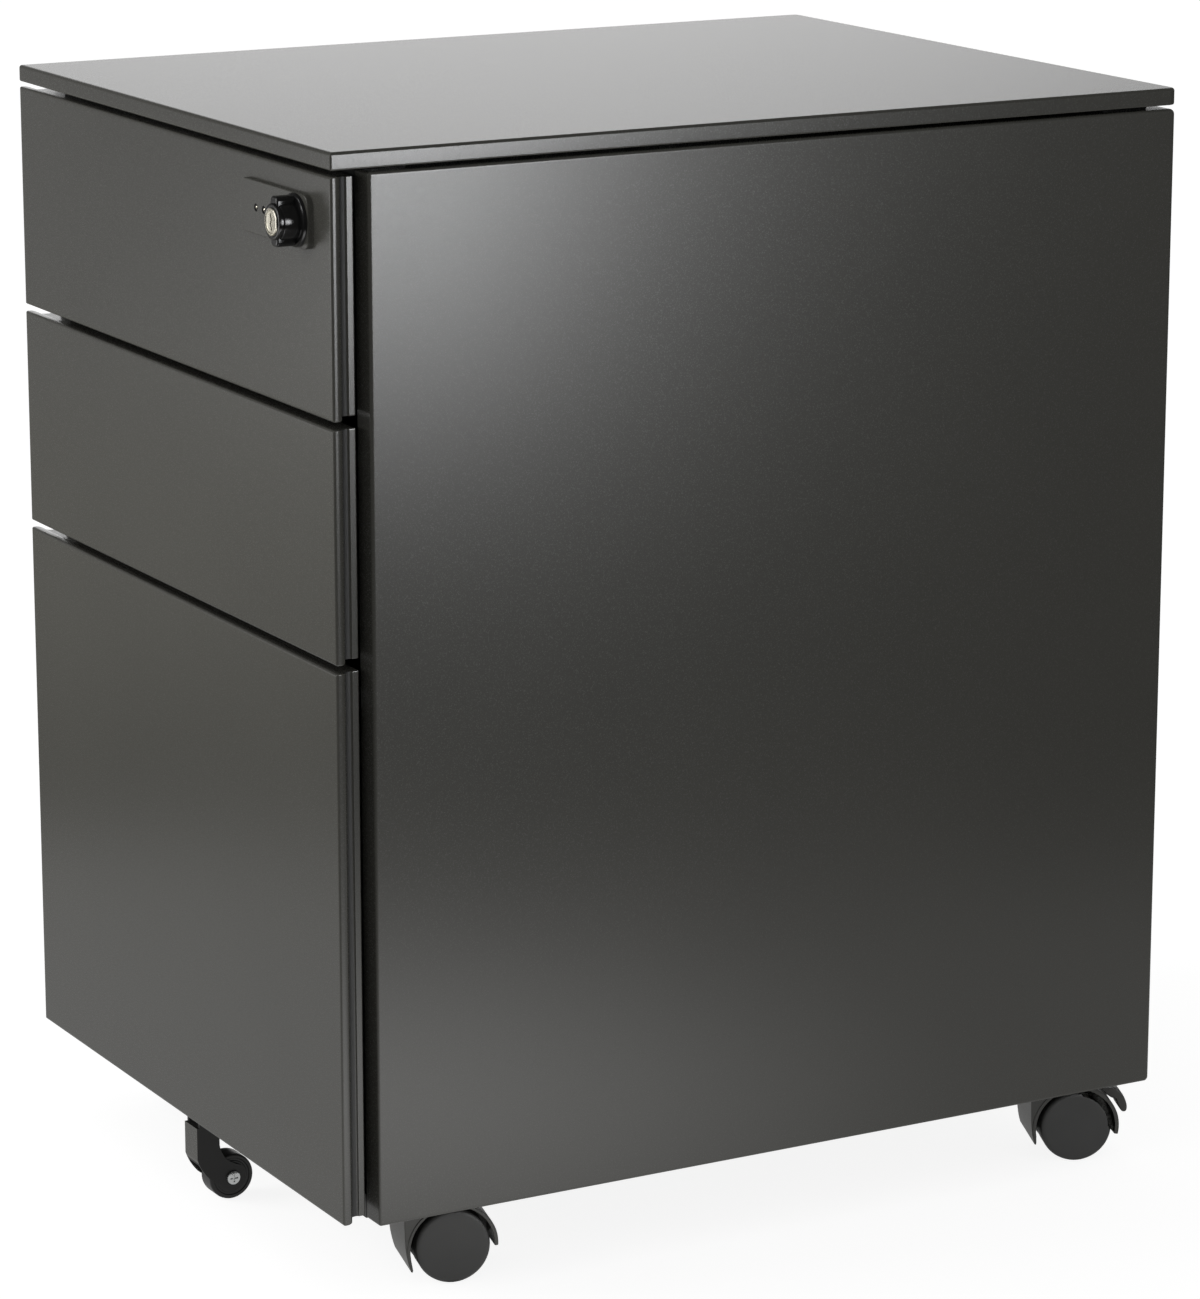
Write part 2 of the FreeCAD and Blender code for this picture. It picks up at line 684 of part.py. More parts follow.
def brake_lever():
    """A foot lever at the back of a rear caster, on its own cross pin."""
    low = -LEVER_HALF
    profile = outline([
        (caster_point(14.6, 20.2, low), caster_point(21.5, 18.4, low)),
        (
            caster_point(21.5, 18.4, low),
            caster_point(27.9, 13.2, low),
            caster_point(31.5, 6.0, low),
        ),
        (caster_point(31.5, 6.0, low), caster_point(28.7, 3.9, low)),
        (caster_point(28.7, 3.9, low), caster_point(25.0, 8.6, low)),
        (caster_point(25.0, 8.6, low), caster_point(23.6, 11.6, low)),
        (caster_point(23.6, 11.6, low), caster_point(15.0, 16.6, low)),
        (caster_point(15.0, 16.6, low), caster_point(14.6, 20.2, low)),
    ])
    lever = Part.Face(profile).extrude(Vector(0, 2 * LEVER_HALF, 0))
    return fused([lever, across_cylinder(PIVOT_PIN_R, *LEVER_PIVOT, -8.9, 8.9)])


def caster_plates_and_stems():
    """Each caster's mounting plate and the swivel stem riveted into it."""
    half = CASTER_PLATE / 2
    low = BASE_BOTTOM - CASTER_PLATE_THICKNESS
    plates = []
    stems = []
    for x, y in stem_places():
        plate = Part.makeBox(
            CASTER_PLATE, CASTER_PLATE, CASTER_PLATE_THICKNESS, Vector(x - half, y - half, low),
        )
        plate = rounded(plate, 4.0, lambda middle, along: abs(along.z) > 0.9)
        hole = Part.makeCylinder(STEM_R, CASTER_PLATE_THICKNESS, Vector(x, y, low))
        plate = plate.cut(hole)
        for screw_x, screw_y in screw_square(x, y):
            start = Vector(screw_x, screw_y, low)
            plate = plate.cut(Part.makeCylinder(SCREW_R, CASTER_PLATE_THICKNESS, start))
        plates.append(plate)
        stem = Part.makeCylinder(STEM_R, BASE_BOTTOM - STEM_BOTTOM, Vector(x, y, STEM_BOTTOM))
        collar = Part.makeCylinder(7.0, 1.5, Vector(x, y, low - 1.5))
        stems.append(fused([stem, collar]))
    return plates + stems


def stem_places():
    """The four stems' x and y."""
    for depth in STEM_DEPTHS.values():
        for x in (-STEM_X, STEM_X):
            yield x, FRONT_Y + depth


def screw_square(x, y):
    """The four screws around one stem."""
    for across in (-CASTER_HOLE, CASTER_HOLE):
        for along in (-CASTER_HOLE, CASTER_HOLE):
            yield x + across, y + along


def caster_screws():
    """Sixteen screws through the caster plates into the base."""
    low = BASE_BOTTOM - CASTER_PLATE_THICKNESS
    screws = []
    for x, y in stem_places():
        for screw_x, screw_y in screw_square(x, y):
            shank = Part.makeCylinder(SCREW_R, CASTER_SHANK, Vector(screw_x, screw_y, low))
            head_low = Vector(screw_x, screw_y, low - CASTER_HEAD)
            head = Part.makeCylinder(CASTER_HEAD_R, CASTER_HEAD, head_low)
            screws.append(fused([shank, head]))
    return screws


def with_caster_holes(base):
    """The base pan with its sixteen screw holes."""
    for x, y in stem_places():
        for screw_x, screw_y in screw_square(x, y):
            start = Vector(screw_x, screw_y, BASE_BOTTOM)
            base = base.cut(Part.makeCylinder(SCREW_R, SHEET, start))
    return base


# ================================================================ anti-tilt wheel
def fifth_point(depth, z):
    """A point on the inner face of the right cheek."""
    return Vector(BRACKET_HALF - BRACKET_SHEET, FRONT_Y + depth, z)


def fifth_end_point(degrees):
    """A point on the cheek's round lower end; 0 degrees is to the rear."""
    angle = math.radians(degrees)
    return fifth_point(
        FIFTH_DEPTH + BRACKET_END_R * math.cos(angle),
        FIFTH_LEVEL + BRACKET_END_R * math.sin(angle),
    )


def fifth_wheel_bracket(file_drawer):
    """A folded bracket under the file drawer's front: a front plate, two cheeks and a foot."""
    top = file_drawer["bottom"]
    foot_low = top - BRACKET_SHEET
    foot_front = BRACKET_FRONT + 1.6
    plate_low, plate_high = BRACKET_PLATE_Z
    waist_rear, waist_front = BRACKET_WAIST
    wide = (-BRACKET_HALF, BRACKET_HALF)
    plate = block(*wide, BRACKET_FRONT, BRACKET_FRONT + BRACKET_SHEET, plate_low, plate_high)
    foot = block(*wide, foot_front, BRACKET_REAR, foot_low, top)
    riser = block(*wide, SKIN_DEPTH + 0.2, FRONT_THICKNESS, top, top + LINER_INSET)
    profile = outline([
        (fifth_point(BRACKET_FRONT, plate_low), fifth_point(BRACKET_FRONT, plate_high)),
        (fifth_point(BRACKET_FRONT, plate_high), fifth_point(foot_front, plate_high)),
        (fifth_point(foot_front, plate_high), fifth_point(foot_front, foot_low)),
        (fifth_point(foot_front, foot_low), fifth_point(BRACKET_REAR, foot_low)),
        (fifth_point(BRACKET_REAR, foot_low), fifth_point(BRACKET_REAR, waist_rear)),
        (
            fifth_point(BRACKET_REAR, waist_rear),
            fifth_point(19.6, 25.4),
            fifth_end_point(63),
        ),
        (fifth_end_point(63), fifth_end_point(-25), fifth_end_point(-110)),
        (fifth_end_point(-110), fifth_point(10.0, waist_front)),
        (
            fifth_point(10.0, waist_front),
            fifth_point(5.6, 20.0),
            fifth_point(BRACKET_FRONT, plate_low),
        ),
    ])
    right = Part.Face(profile).extrude(Vector(BRACKET_SHEET, 0, 0))
    bracket = fused([plate, foot, riser] + both_sides(right))
    return bracket.cut(fifth_bar(AXLE_R, BRACKET_HALF))


def fifth_bar(radius, half):
    """A round bar across the cabinet on the fifth wheel's axis."""
    start = Vector(-half, FRONT_Y + FIFTH_DEPTH, FIFTH_LEVEL)
    return Part.makeCylinder(radius, 2 * half, start, Vector(1, 0, 0))


def fifth_wheel_axle():
    """The axle screw: a shank through both cheeks, with a head on the right."""
    start = Vector(BRACKET_HALF, FRONT_Y + FIFTH_DEPTH, FIFTH_LEVEL)
    head = Part.makeCylinder(FIFTH_HEAD_R, FIFTH_HEAD, start, Vector(1, 0, 0))
    nut_start = Vector(-BRACKET_HALF - FIFTH_NUT, FRONT_Y + FIFTH_DEPTH, FIFTH_LEVEL)
    nut = Part.makeCylinder(FIFTH_NUT_R, FIFTH_NUT, nut_start, Vector(1, 0, 0))
    return fused([fifth_bar(AXLE_R, BRACKET_HALF), head, nut])


def fifth_wheel():
    """The small roller that meets the floor when the open drawer tips the cabinet."""
    wheel = fifth_bar(FIFTH_R, FIFTH_HALF)
    rims = [e for e in wheel.Edges if len(e.Vertexes) == 1]
    wheel = wheel.makeFillet(FIFTH_EDGE, rims)
    return wheel.cut(fifth_bar(AXLE_R + RUNNING_GAP, FIFTH_HALF))


# ================================================================ build
os.makedirs("parts", exist_ok=True)
all_drawers = drawer_list()

save("top_cover", top_cover())
save("right_side_panel", side_panel())
save("left_side_panel", mirrored(side_panel()))
save("back_panel", back_panel())
save("base_pan", with_caster_holes(base_pan()))
save("top_rails", top_rails())
save("runner_posts", runner_posts())
save("fixed_runners", fixed_runners(all_drawers))
save("lock_bar_guides", lock_bar_guides())
save("caster_plates", caster_plates_and_stems())
save("caster_screws", caster_screws())

for this_drawer in all_drawers:
    name = this_drawer["name"]
    skin_piece = drawer_front(this_drawer)
    liner_piece = drawer_liner(this_drawer)
    for place in screw_places(this_drawer):
        liner_piece = liner_piece.cut(screw_hole(*place))
    if name == "top_drawer":
        skin_piece = skin_piece.cut(lock_bore())
        liner_piece = liner_piece.cut(lock_bore())
    else:
        save(f"{name}_catch", drawer_catch(this_drawer))
    save(f"{name}_front", skin_piece)
    save(f"{name}_liner", liner_piece)
    save(f"{name}_tray", tray(this_drawer))
    save(f"{name}_front_screws", front_screws(this_drawer))
    save(f"{name}_middle_runners", middle_runners(this_drawer))
    save(f"{name}_inner_runners", inner_runners(this_drawer))
save("file_rails", file_rails(all_drawers[-1]))

save("lock_plate", lock_plate())
save("lock_housing", lock_housing())
save("lock_nut", lock_nut())
save("lock_knob", lock_knob())
save("key_cylinder", key_cylinder())
save("lock_crank", lock_crank())
save("lock_bar", lock_bar(all_drawers))

for end_name in STEM_DEPTHS:
    for side_name in ("left", "right"):
        caster = f"{end_name}_{side_name}_caster"
        has_brake = end_name == "rear"
        save(f"{caster}_hood", along_caster(caster_hood(has_brake), side_name, end_name))
        save(f"{caster}_axle", along_caster(caster_axle(), side_name, end_name))
        save(f"{caster}_wheel_left", along_caster(caster_wheel(1), side_name, end_name))
        save(f"{caster}_wheel_right", along_caster(caster_wheel(-1), side_name, end_name))
        if has_brake:
            save(f"{caster}_brake_lever", along_caster(brake_lever(), side_name, end_name))

save("fifth_wheel_bracket", fifth_wheel_bracket(all_drawers[-1]))
save("fifth_wheel_axle", fifth_wheel_axle())
save("fifth_wheel", fifth_wheel())
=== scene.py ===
import json
import math

import bmesh
import bpy
from mathutils import Matrix, Vector


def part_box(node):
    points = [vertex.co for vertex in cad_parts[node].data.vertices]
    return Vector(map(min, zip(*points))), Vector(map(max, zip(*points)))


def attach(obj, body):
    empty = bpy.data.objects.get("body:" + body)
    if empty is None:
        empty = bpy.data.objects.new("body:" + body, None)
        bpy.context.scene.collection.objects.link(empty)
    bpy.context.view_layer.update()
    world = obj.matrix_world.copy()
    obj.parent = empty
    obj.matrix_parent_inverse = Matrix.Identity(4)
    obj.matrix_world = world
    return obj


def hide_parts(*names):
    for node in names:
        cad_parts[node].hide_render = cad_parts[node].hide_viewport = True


# Rolling pedestal cabinet: the looks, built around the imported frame. Lengths in this script are
# metres, like the frame's; details are given in millimetres times MM.

MM = 0.001
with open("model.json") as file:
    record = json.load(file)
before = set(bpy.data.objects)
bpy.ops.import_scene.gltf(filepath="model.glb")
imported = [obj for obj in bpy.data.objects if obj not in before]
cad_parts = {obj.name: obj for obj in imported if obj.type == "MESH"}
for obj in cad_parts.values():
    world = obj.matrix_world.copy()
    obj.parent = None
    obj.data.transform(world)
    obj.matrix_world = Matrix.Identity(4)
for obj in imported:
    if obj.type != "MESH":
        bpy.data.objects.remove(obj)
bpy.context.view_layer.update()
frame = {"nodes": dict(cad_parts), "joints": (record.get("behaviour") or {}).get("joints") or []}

DRAWERS = ("top_drawer", "middle_drawer", "file_drawer")
lid_low, lid_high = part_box("top_cover")
FRONT = lid_low.y               # the plane of the lid's and the drawer fronts' faces
HALF = lid_high.x               # half of the cabinet's width
INWARDS = (0, 1, 0)             # from the front into the cabinet


# ================================================================ mesh helpers
def finish_mesh(name, mesh, body, material, replaced, sharp=32.0, tidy=None):
    """Make an object of a bmesh: recalculate, smooth, weight the normals and set it riding."""
    bmesh.ops.remove_doubles(mesh, verts=mesh.verts, dist=0.00001)
    bmesh.ops.dissolve_degenerate(mesh, edges=mesh.edges, dist=0.00001)
    bmesh.ops.recalc_face_normals(mesh, faces=mesh.faces)
    data = bpy.data.meshes.new(name)
    mesh.to_mesh(data)
    mesh.free()
    data.shade_smooth()
    data.set_sharp_from_angle(angle=math.radians(sharp))
    piece = bpy.data.objects.new(name, data)
    bpy.context.scene.collection.objects.link(piece)
    data.materials.append(material)
    if tidy:
        tidy(piece)
    weighted = piece.modifiers.new("weighted_normals", "WEIGHTED_NORMAL")
    weighted.keep_sharp = True
    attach(piece, body)
    if replaced:
        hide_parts(*replaced)
    return piece


def paint_faces(piece, material, wanted):
    """Give a second material to the faces whose centre passes a test."""
    piece.data.materials.append(material)
    for face in piece.data.polygons:
        if wanted(face.center):
            face.material_index = len(piece.data.materials) - 1


def bevelled(width, segments=3, angle=35.0):
    """A tidy step for finish_mesh that rounds every edge sharper than the angle."""
    def add(piece):
        bevel = piece.modifiers.new("rounded_edges", "BEVEL")
        bevel.width = width
        bevel.segments = segments
        bevel.limit_method = "ANGLE"
        bevel.angle_limit = math.radians(angle)
        piece.data.shade_smooth()
    return add


def add_loft(mesh, rings):
    """Quads between rings of points that match one to one, with a face over each end."""
    rows = [[mesh.verts.new(point) for point in ring] for ring in rings]
    count = len(rows[0])
    for lower, upper in zip(rows, rows[1:]):
        for step in range(count):
            after = (step + 1) % count
            mesh.faces.new((lower[step], lower[after], upper[after], upper[step]))
    mesh.faces.new(rows[0])
    mesh.faces.new(reversed(rows[-1]))


def cut_with(mesh):
    """A tidy step for finish_mesh that cuts the piece with a closed mesh."""
    def cut(piece):
        bmesh.ops.recalc_face_normals(mesh, faces=mesh.faces)
        data = bpy.data.meshes.new("cutter")
        mesh.to_mesh(data)
        mesh.free()
        cutter = bpy.data.objects.new("cutter", data)
        bpy.context.scene.collection.objects.link(cutter)
        boolean = piece.modifiers.new("cut", "BOOLEAN")
        boolean.object = cutter
        boolean.solver = "EXACT"
        boolean.use_self = True
        depsgraph = bpy.context.evaluated_depsgraph_get()
        result = bpy.data.meshes.new_from_object(piece.evaluated_get(depsgraph))
        piece.modifiers.remove(boolean)
        piece.data = result
        bpy.data.objects.remove(cutter)
    return cut


def in_turn(*actions):
    """One tidy step made of several."""
    def run(piece):
        for action in actions:
            action(piece)
    return run


def in_mm(points):
    """Pairs that are given in millimetres, as metres."""
    return [(first * MM, second * MM) for first, second in points]


def rounded_rectangle(low_u, high_u, low_v, high_v, radii, steps=6):
    """Points round a rectangle, anticlockwise from the low corner; one radius per corner."""
    corners = (
        (low_u, low_v, 1, 1, 180.0),
        (high_u, low_v, -1, 1, 270.0),
        (high_u, high_v, -1, -1, 0.0),
        (low_u, high_v, 1, -1, 90.0),
    )
    points = []
    for (u, v, in_u, in_v, start), radius in zip(corners, radii):
        radius = max(radius, 0.05 * MM)
        for step in range(steps + 1):
            angle = math.radians(start + 90.0 * step / steps)
            points.append((
                u + in_u * radius + radius * math.cos(angle),
                v + in_v * radius + radius * math.sin(angle),
            ))
    return points


def pan_rings(low, high, radii, profile, place):
    """Rings of a rounded plan, drawn in and moved along as (inset_u, inset_v, w) says."""
    rings = []
    for inset_u, inset_v, w in profile:
        least = min(inset_u, inset_v)
        ring = rounded_rectangle(
            low[0] + inset_u, high[0] - inset_u, low[1] + inset_v, high[1] - inset_v,
            [radius - least for radius in radii],
        )
        rings.append([place(u, v, w) for u, v in ring])
    return rings


def arc(centre, radius, start, end, steps=5):
    """Points on an arc, angles in degrees."""
    points = []
    for step in range(steps + 1):
        angle = math.radians(start + (end - start) * step / steps)
        points.append((
            centre[0] + radius * math.cos(angle),
            centre[1] + radius * math.sin(angle),
        ))
    return points


def curve_through(start, control, end, steps=8):
    """Points on a quadratic curve."""
    points = []
    for step in range(steps + 1):
        t = step / steps
        points.append(tuple(
            (1 - t) ** 2 * a + 2 * t * (1 - t) * b + t * t * c
            for a, b, c in zip(start, control, end)
        ))
    return points


def add_prism(mesh, points, push):
    """A straight-sided solid: the outline and its copy a push away."""
    far = [Vector(point) + Vector(push) for point in points]
    add_loft(mesh, [[Vector(point) for point in points], far])


def add_lathe(mesh, profile, centre, axis, steps=48):
    """Turn (radius, along) points round an axis. Points with no radius close the shape."""
    axis = Vector(axis).normalized()
    side = axis.orthogonal().normalized()
    other = axis.cross(side)
    centre = Vector(centre)
    rows = []
    for radius, along in profile:
        if radius < 0.000001:
            rows.append([mesh.verts.new(centre + axis * along)])
            continue
        ring = []
        for step in range(steps):
            angle = 2 * math.pi * step / steps
            around = side * math.cos(angle) + other * math.sin(angle)
            ring.append(mesh.verts.new(centre + axis * along + around * radius))
        rows.append(ring)
    for first, second in zip(rows, rows[1:]):
        for step in range(steps):
            after = (step + 1) % steps
            corners = [first[step % len(first)], first[after % len(first)]]
            corners += [second[after % len(second)], second[step % len(second)]]
            distinct = list(dict.fromkeys(corners))
            if len(distinct) > 2:
                mesh.faces.new(distinct)


# ================================================================ materials
def new_material(name):
    """An empty node material with its output and a Principled shader."""
    material = bpy.data.materials.new(name)
    material.use_nodes = True
    tree = material.node_tree
    shader = tree.nodes["Principled BSDF"]
    return material, tree, shader


def noise(tree, coordinates, scale, detail=2.0, roughness=0.5):
    """A noise texture in object space; scale is in features per metre."""
    node = tree.nodes.new("ShaderNodeTexNoise")
    node.inputs["Scale"].default_value = scale
    node.inputs["Detail"].default_value = detail
    node.inputs["Roughness"].default_value = roughness
    tree.links.new(coordinates, node.inputs["Vector"])
    return node.outputs["Fac"]


def object_coordinates(tree):
    """The object-space position."""
    return tree.nodes.new("ShaderNodeTexCoord").outputs["Object"]


def remapped(tree, value, low, high):
    """A 0 to 1 value, spread to another range."""
    node = tree.nodes.new("ShaderNodeMapRange")
    node.inputs["From Min"].default_value = 0.3
    node.inputs["From Max"].default_value = 0.7
    node.inputs["To Min"].default_value = low
    node.inputs["To Max"].default_value = high
    tree.links.new(value, node.inputs["Value"])
    return node.outputs["Result"]


def mixed_colour(tree, factor, dark, light):
    """A colour between two, by a factor."""
    node = tree.nodes.new("ShaderNodeMix")
    node.data_type = "RGBA"
    node.inputs["A"].default_value = (*dark, 1.0)
    node.inputs["B"].default_value = (*light, 1.0)
    tree.links.new(factor, node.inputs["Factor"])
    return node.outputs["Result"]


def bumped(tree, shader, layers):
    """Chain bump layers of (height, strength, distance) into the shader's normal."""
    normal = None
    for height, strength, distance in layers:
        node = tree.nodes.new("ShaderNodeBump")
        node.inputs["Strength"].default_value = strength
        node.inputs["Distance"].default_value = distance
        tree.links.new(height, node.inputs["Height"])
        if normal:
            tree.links.new(normal, node.inputs["Normal"])
        normal = node.outputs["Normal"]
    tree.links.new(normal, shader.inputs["Normal"])


def edge_mask(tree, radius):
    """Near 1 along sharp convex edges and corners, 0 on flats."""
    geometry = tree.nodes.new("ShaderNodeNewGeometry")
    bevel = tree.nodes.new("ShaderNodeBevel")
    bevel.samples = 4
    bevel.inputs["Radius"].default_value = radius
    dot = tree.nodes.new("ShaderNodeVectorMath")
    dot.operation = "DOT_PRODUCT"
    tree.links.new(bevel.outputs["Normal"], dot.inputs[0])
    tree.links.new(geometry.outputs["Normal"], dot.inputs[1])
    spread = tree.nodes.new("ShaderNodeMapRange")
    spread.inputs["From Min"].default_value = 0.995
    spread.inputs["From Max"].default_value = 0.90
    tree.links.new(dot.outputs["Value"], spread.inputs["Value"])
    return spread.outputs["Result"]


def multiplied(tree, first, second):
    """The product of two values; the second may be a plain number."""
    node = tree.nodes.new("ShaderNodeMath")
    node.operation = "MULTIPLY"
    tree.links.new(first, node.inputs[0])
    if isinstance(second, float):
        node.inputs[1].default_value = second
    else:
        tree.links.new(second, node.inputs[1])
    return node.outputs["Value"]


def powder_coat(name, base, sheen_roughness, grain=1.0, edge_sheen=0.35):
    """Baked powder paint: fine grain over a soft orange peel; a painted highlight makes the folds
    paler.
    """
    material, tree, shader = new_material(name)
    at = object_coordinates(tree)
    cloud = noise(tree, at, 9.0, 3.0)
    dark = [0.93 * channel for channel in base]
    light = [1.07 * channel for channel in base]
    colour = mixed_colour(tree, cloud, dark, light)
    speck = noise(tree, at, 1900.0, 1.0)
    # painted highlight: folds and corners are made paler, broken up by noise
    painted_edge_sheen = multiplied(tree, edge_mask(tree, 1.2 * MM), edge_sheen)
    painted_edge_sheen = multiplied(tree, painted_edge_sheen, remapped(tree, noise(tree, at, 160.0, 4.0), 0.2, 1.0))
    pale = tree.nodes.new("ShaderNodeMix")
    pale.data_type = "RGBA"
    pale.inputs["B"].default_value = (*[min(1.0, 2.6 * channel + 0.02) for channel in base], 1.0)
    tree.links.new(painted_edge_sheen, pale.inputs["Factor"])
    tree.links.new(colour, pale.inputs["A"])
    tree.links.new(pale.outputs["Result"], shader.inputs["Base Color"])
    rough = remapped(tree, speck, sheen_roughness - 0.03, sheen_roughness + 0.05)
    tree.links.new(rough, shader.inputs["Roughness"])
    shader.inputs["IOR"].default_value = 1.52
    peel = noise(tree, at, 330.0, 2.0)
    bumped(tree, shader, [
        (peel, 0.10 * grain, 0.12 * MM),
        (speck, 0.14 * grain, 0.05 * MM),
    ])
    return material


def plated_steel(name, base, roughness, lines=(1.0, 1.0, 14.0)):
    """Zinc-plated or nickel-plated steel with fine rolling lines and a cloudy passivation."""
    material, tree, shader = new_material(name)
    at = object_coordinates(tree)
    stretch = tree.nodes.new("ShaderNodeMapping")
    stretch.inputs["Scale"].default_value = lines
    tree.links.new(at, stretch.inputs["Vector"])
    scratch = noise(tree, stretch.outputs["Vector"], 260.0, 4.0, 0.7)
    cloud = noise(tree, at, 55.0, 3.0)
    cool = [0.92 * base[0], 0.95 * base[1], base[2]]
    warm = [base[0], 0.97 * base[1], 0.88 * base[2]]
    tree.links.new(mixed_colour(tree, cloud, cool, warm), shader.inputs["Base Color"])
    shader.inputs["Metallic"].default_value = 1.0
    rough = remapped(tree, scratch, roughness - 0.06, roughness + 0.1)
    tree.links.new(rough, shader.inputs["Roughness"])
    bumped(tree, shader, [(scratch, 0.12, 0.05 * MM)])
    return material


def moulded_plastic(name, base, roughness, grain_scale, grain_height, spread=0.05):
    """Moulded plastic with a fine spark texture and slight tone change from flow."""
    material, tree, shader = new_material(name)
    at = object_coordinates(tree)
    flow = noise(tree, at, 60.0, 3.0)
    dark = [0.85 * channel for channel in base]
    light = [1.18 * channel for channel in base]
    tree.links.new(mixed_colour(tree, flow, dark, light), shader.inputs["Base Color"])
    grain = noise(tree, at, grain_scale, 3.0, 0.6)
    rough = remapped(tree, grain, roughness - spread, roughness + spread)
    tree.links.new(rough, shader.inputs["Roughness"])
    bumped(tree, shader, [(grain, 0.5, grain_height)])
    return material


GRAPHITE = (0.066, 0.065, 0.057)
paint = powder_coat("graphite_powder_coat", GRAPHITE, 0.24)
inner_paint = powder_coat("inner_powder_coat", (0.030, 0.030, 0.029), 0.36, 1.3)
# near-black paint used as painted shade in the drawers' grooves and on the roller bracket's cheeks
painted_shade_paint = powder_coat("painted_shade_powder_coat", (0.013, 0.013, 0.012), 0.55, 1.3)
zinc = plated_steel("zinc_plate", (0.62, 0.63, 0.66), 0.30)
screw_zinc = plated_steel("screw_zinc", (0.70, 0.72, 0.74), 0.22, (6.0, 6.0, 6.0))
nickel = plated_steel("key_nickel", (0.78, 0.74, 0.64), 0.22, (2.0, 2.0, 10.0))
nylon = moulded_plastic("natural_nylon", (0.68, 0.66, 0.60), 0.42, 900.0, 0.03 * MM)
black_plastic = moulded_plastic("knob_black", (0.012, 0.012, 0.012), 0.16, 700.0, 0.01 * MM, 0.04)
hood_plastic = moulded_plastic("hood_plastic", (0.055, 0.054, 0.048), 0.40, 1500.0, 0.03 * MM)
wheel_plastic = moulded_plastic("wheel_plastic", (0.040, 0.040, 0.038), 0.52, 1300.0, 0.06 * MM)
roller_plastic = moulded_plastic("roller_plastic", (0.014, 0.014, 0.013), 0.35, 1100.0, 0.03 * MM)


def carry_over(material, *nodes):
    """Give CAD nodes that stay in view their material."""
    for node in nodes:
        for slot in frame["nodes"][node].material_slots:
            slot.material = material


# ================================================================ lid and carcass
SIDE_SET_BACK = 1.0 * MM        # how far the side panels' front edges stand behind their CAD box


def build_lid():
    """The folded lid: soft top edge, welded front corners, rounded rear corners, hollow below."""
    fold = 1.7 * MM
    hem = 1.0 * MM
    sheet = 1.2 * MM
    rim = 16.0 * MM
    profile = [(12.0 * MM, lid_high.z), (fold + 0.4 * MM, lid_high.z)]
    profile += [(fold - x, lid_high.z - fold + y) for x, y in arc((0, 0), fold, 90, 0)]
    profile += [(hem - x, lid_low.z + hem + y) for x, y in arc((0, 0), hem, 0, -90)]
    profile += [(rim, lid_low.z), (rim, lid_low.z + sheet), (2.2 * MM, lid_low.z + sheet)]
    profile += [(sheet, lid_low.z + 2.4 * MM), (sheet, lid_high.z - 2.4 * MM)]
    profile += [(2.2 * MM, lid_high.z - sheet), (rim, lid_high.z - sheet)]
    mesh = bmesh.new()
    radii = [1.0 * MM, 1.0 * MM, 5.0 * MM, 5.0 * MM]
    rings = pan_rings(
        (lid_low.x, lid_low.y), (lid_high.x, lid_high.y), radii,
        [(inset, inset, z) for inset, z in profile], lambda u, v, w: Vector((u, v, w)),
    )
    add_loft(mesh, rings)
    finish_mesh("lid_shell", mesh, "carcass", paint, ["top_cover"])


def build_side(node, name):
    """A side panel: outer face with rolled edges and a rim folded inwards."""
    low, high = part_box(node)
    sign = 1.0 if low.x > 0 else -1.0
    outer = high.x if sign > 0 else low.x
    inner = low.x if sign > 0 else high.x
    low.y += SIDE_SET_BACK
    roll = 1.6 * MM
    sheet = 1.0 * MM
    depth = abs(outer - inner)
    profile = [(14.0 * MM, 0.0), (roll + 0.5 * MM, 0.0)]
    profile += [(roll - x, roll - y) for x, y in arc((0, 0), roll, 90, 0, 6)]
    profile += [(0.0, depth - 0.3 * MM), (0.3 * MM, depth), (sheet, depth)]
    profile += [(sheet, roll), (sheet + 0.6 * MM, sheet + 0.6 * MM), (roll, sheet)]
    mesh = bmesh.new()
    rings = pan_rings(
        (low.y, low.z), (high.y, high.z), [1.5 * MM, 2.5 * MM, 3.0 * MM, 1.5 * MM],
        [(inset, inset, w) for inset, w in profile],
        lambda u, v, w: Vector((outer - sign * w, u, v)),
    )
    add_loft(mesh, rings)
    finish_mesh(name, mesh, "carcass", paint, [node])


def build_back():
    """The back panel: a shallow pan set between the side panels."""
    low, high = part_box("back_panel")
    roll = 1.6 * MM
    sheet = 1.0 * MM
    depth = high.y - low.y
    profile = [(12.0 * MM, 0.0), (roll + 0.4 * MM, 0.0)]
    profile += [(roll - x, roll - y) for x, y in arc((0, 0), roll, 90, 0)]
    profile += [(0.0, depth), (sheet, depth), (sheet, 2.0 * MM), (2.0 * MM, sheet)]
    mesh = bmesh.new()
    rings = pan_rings(
        (low.x, low.z), (high.x, high.z), [1.0 * MM] * 4,
        [(inset, inset, w) for inset, w in profile],
        lambda u, v, w: Vector((u, high.y - w, v)),
    )
    add_loft(mesh, rings)
    finish_mesh("back_shell", mesh, "carcass", paint, ["back_panel"])


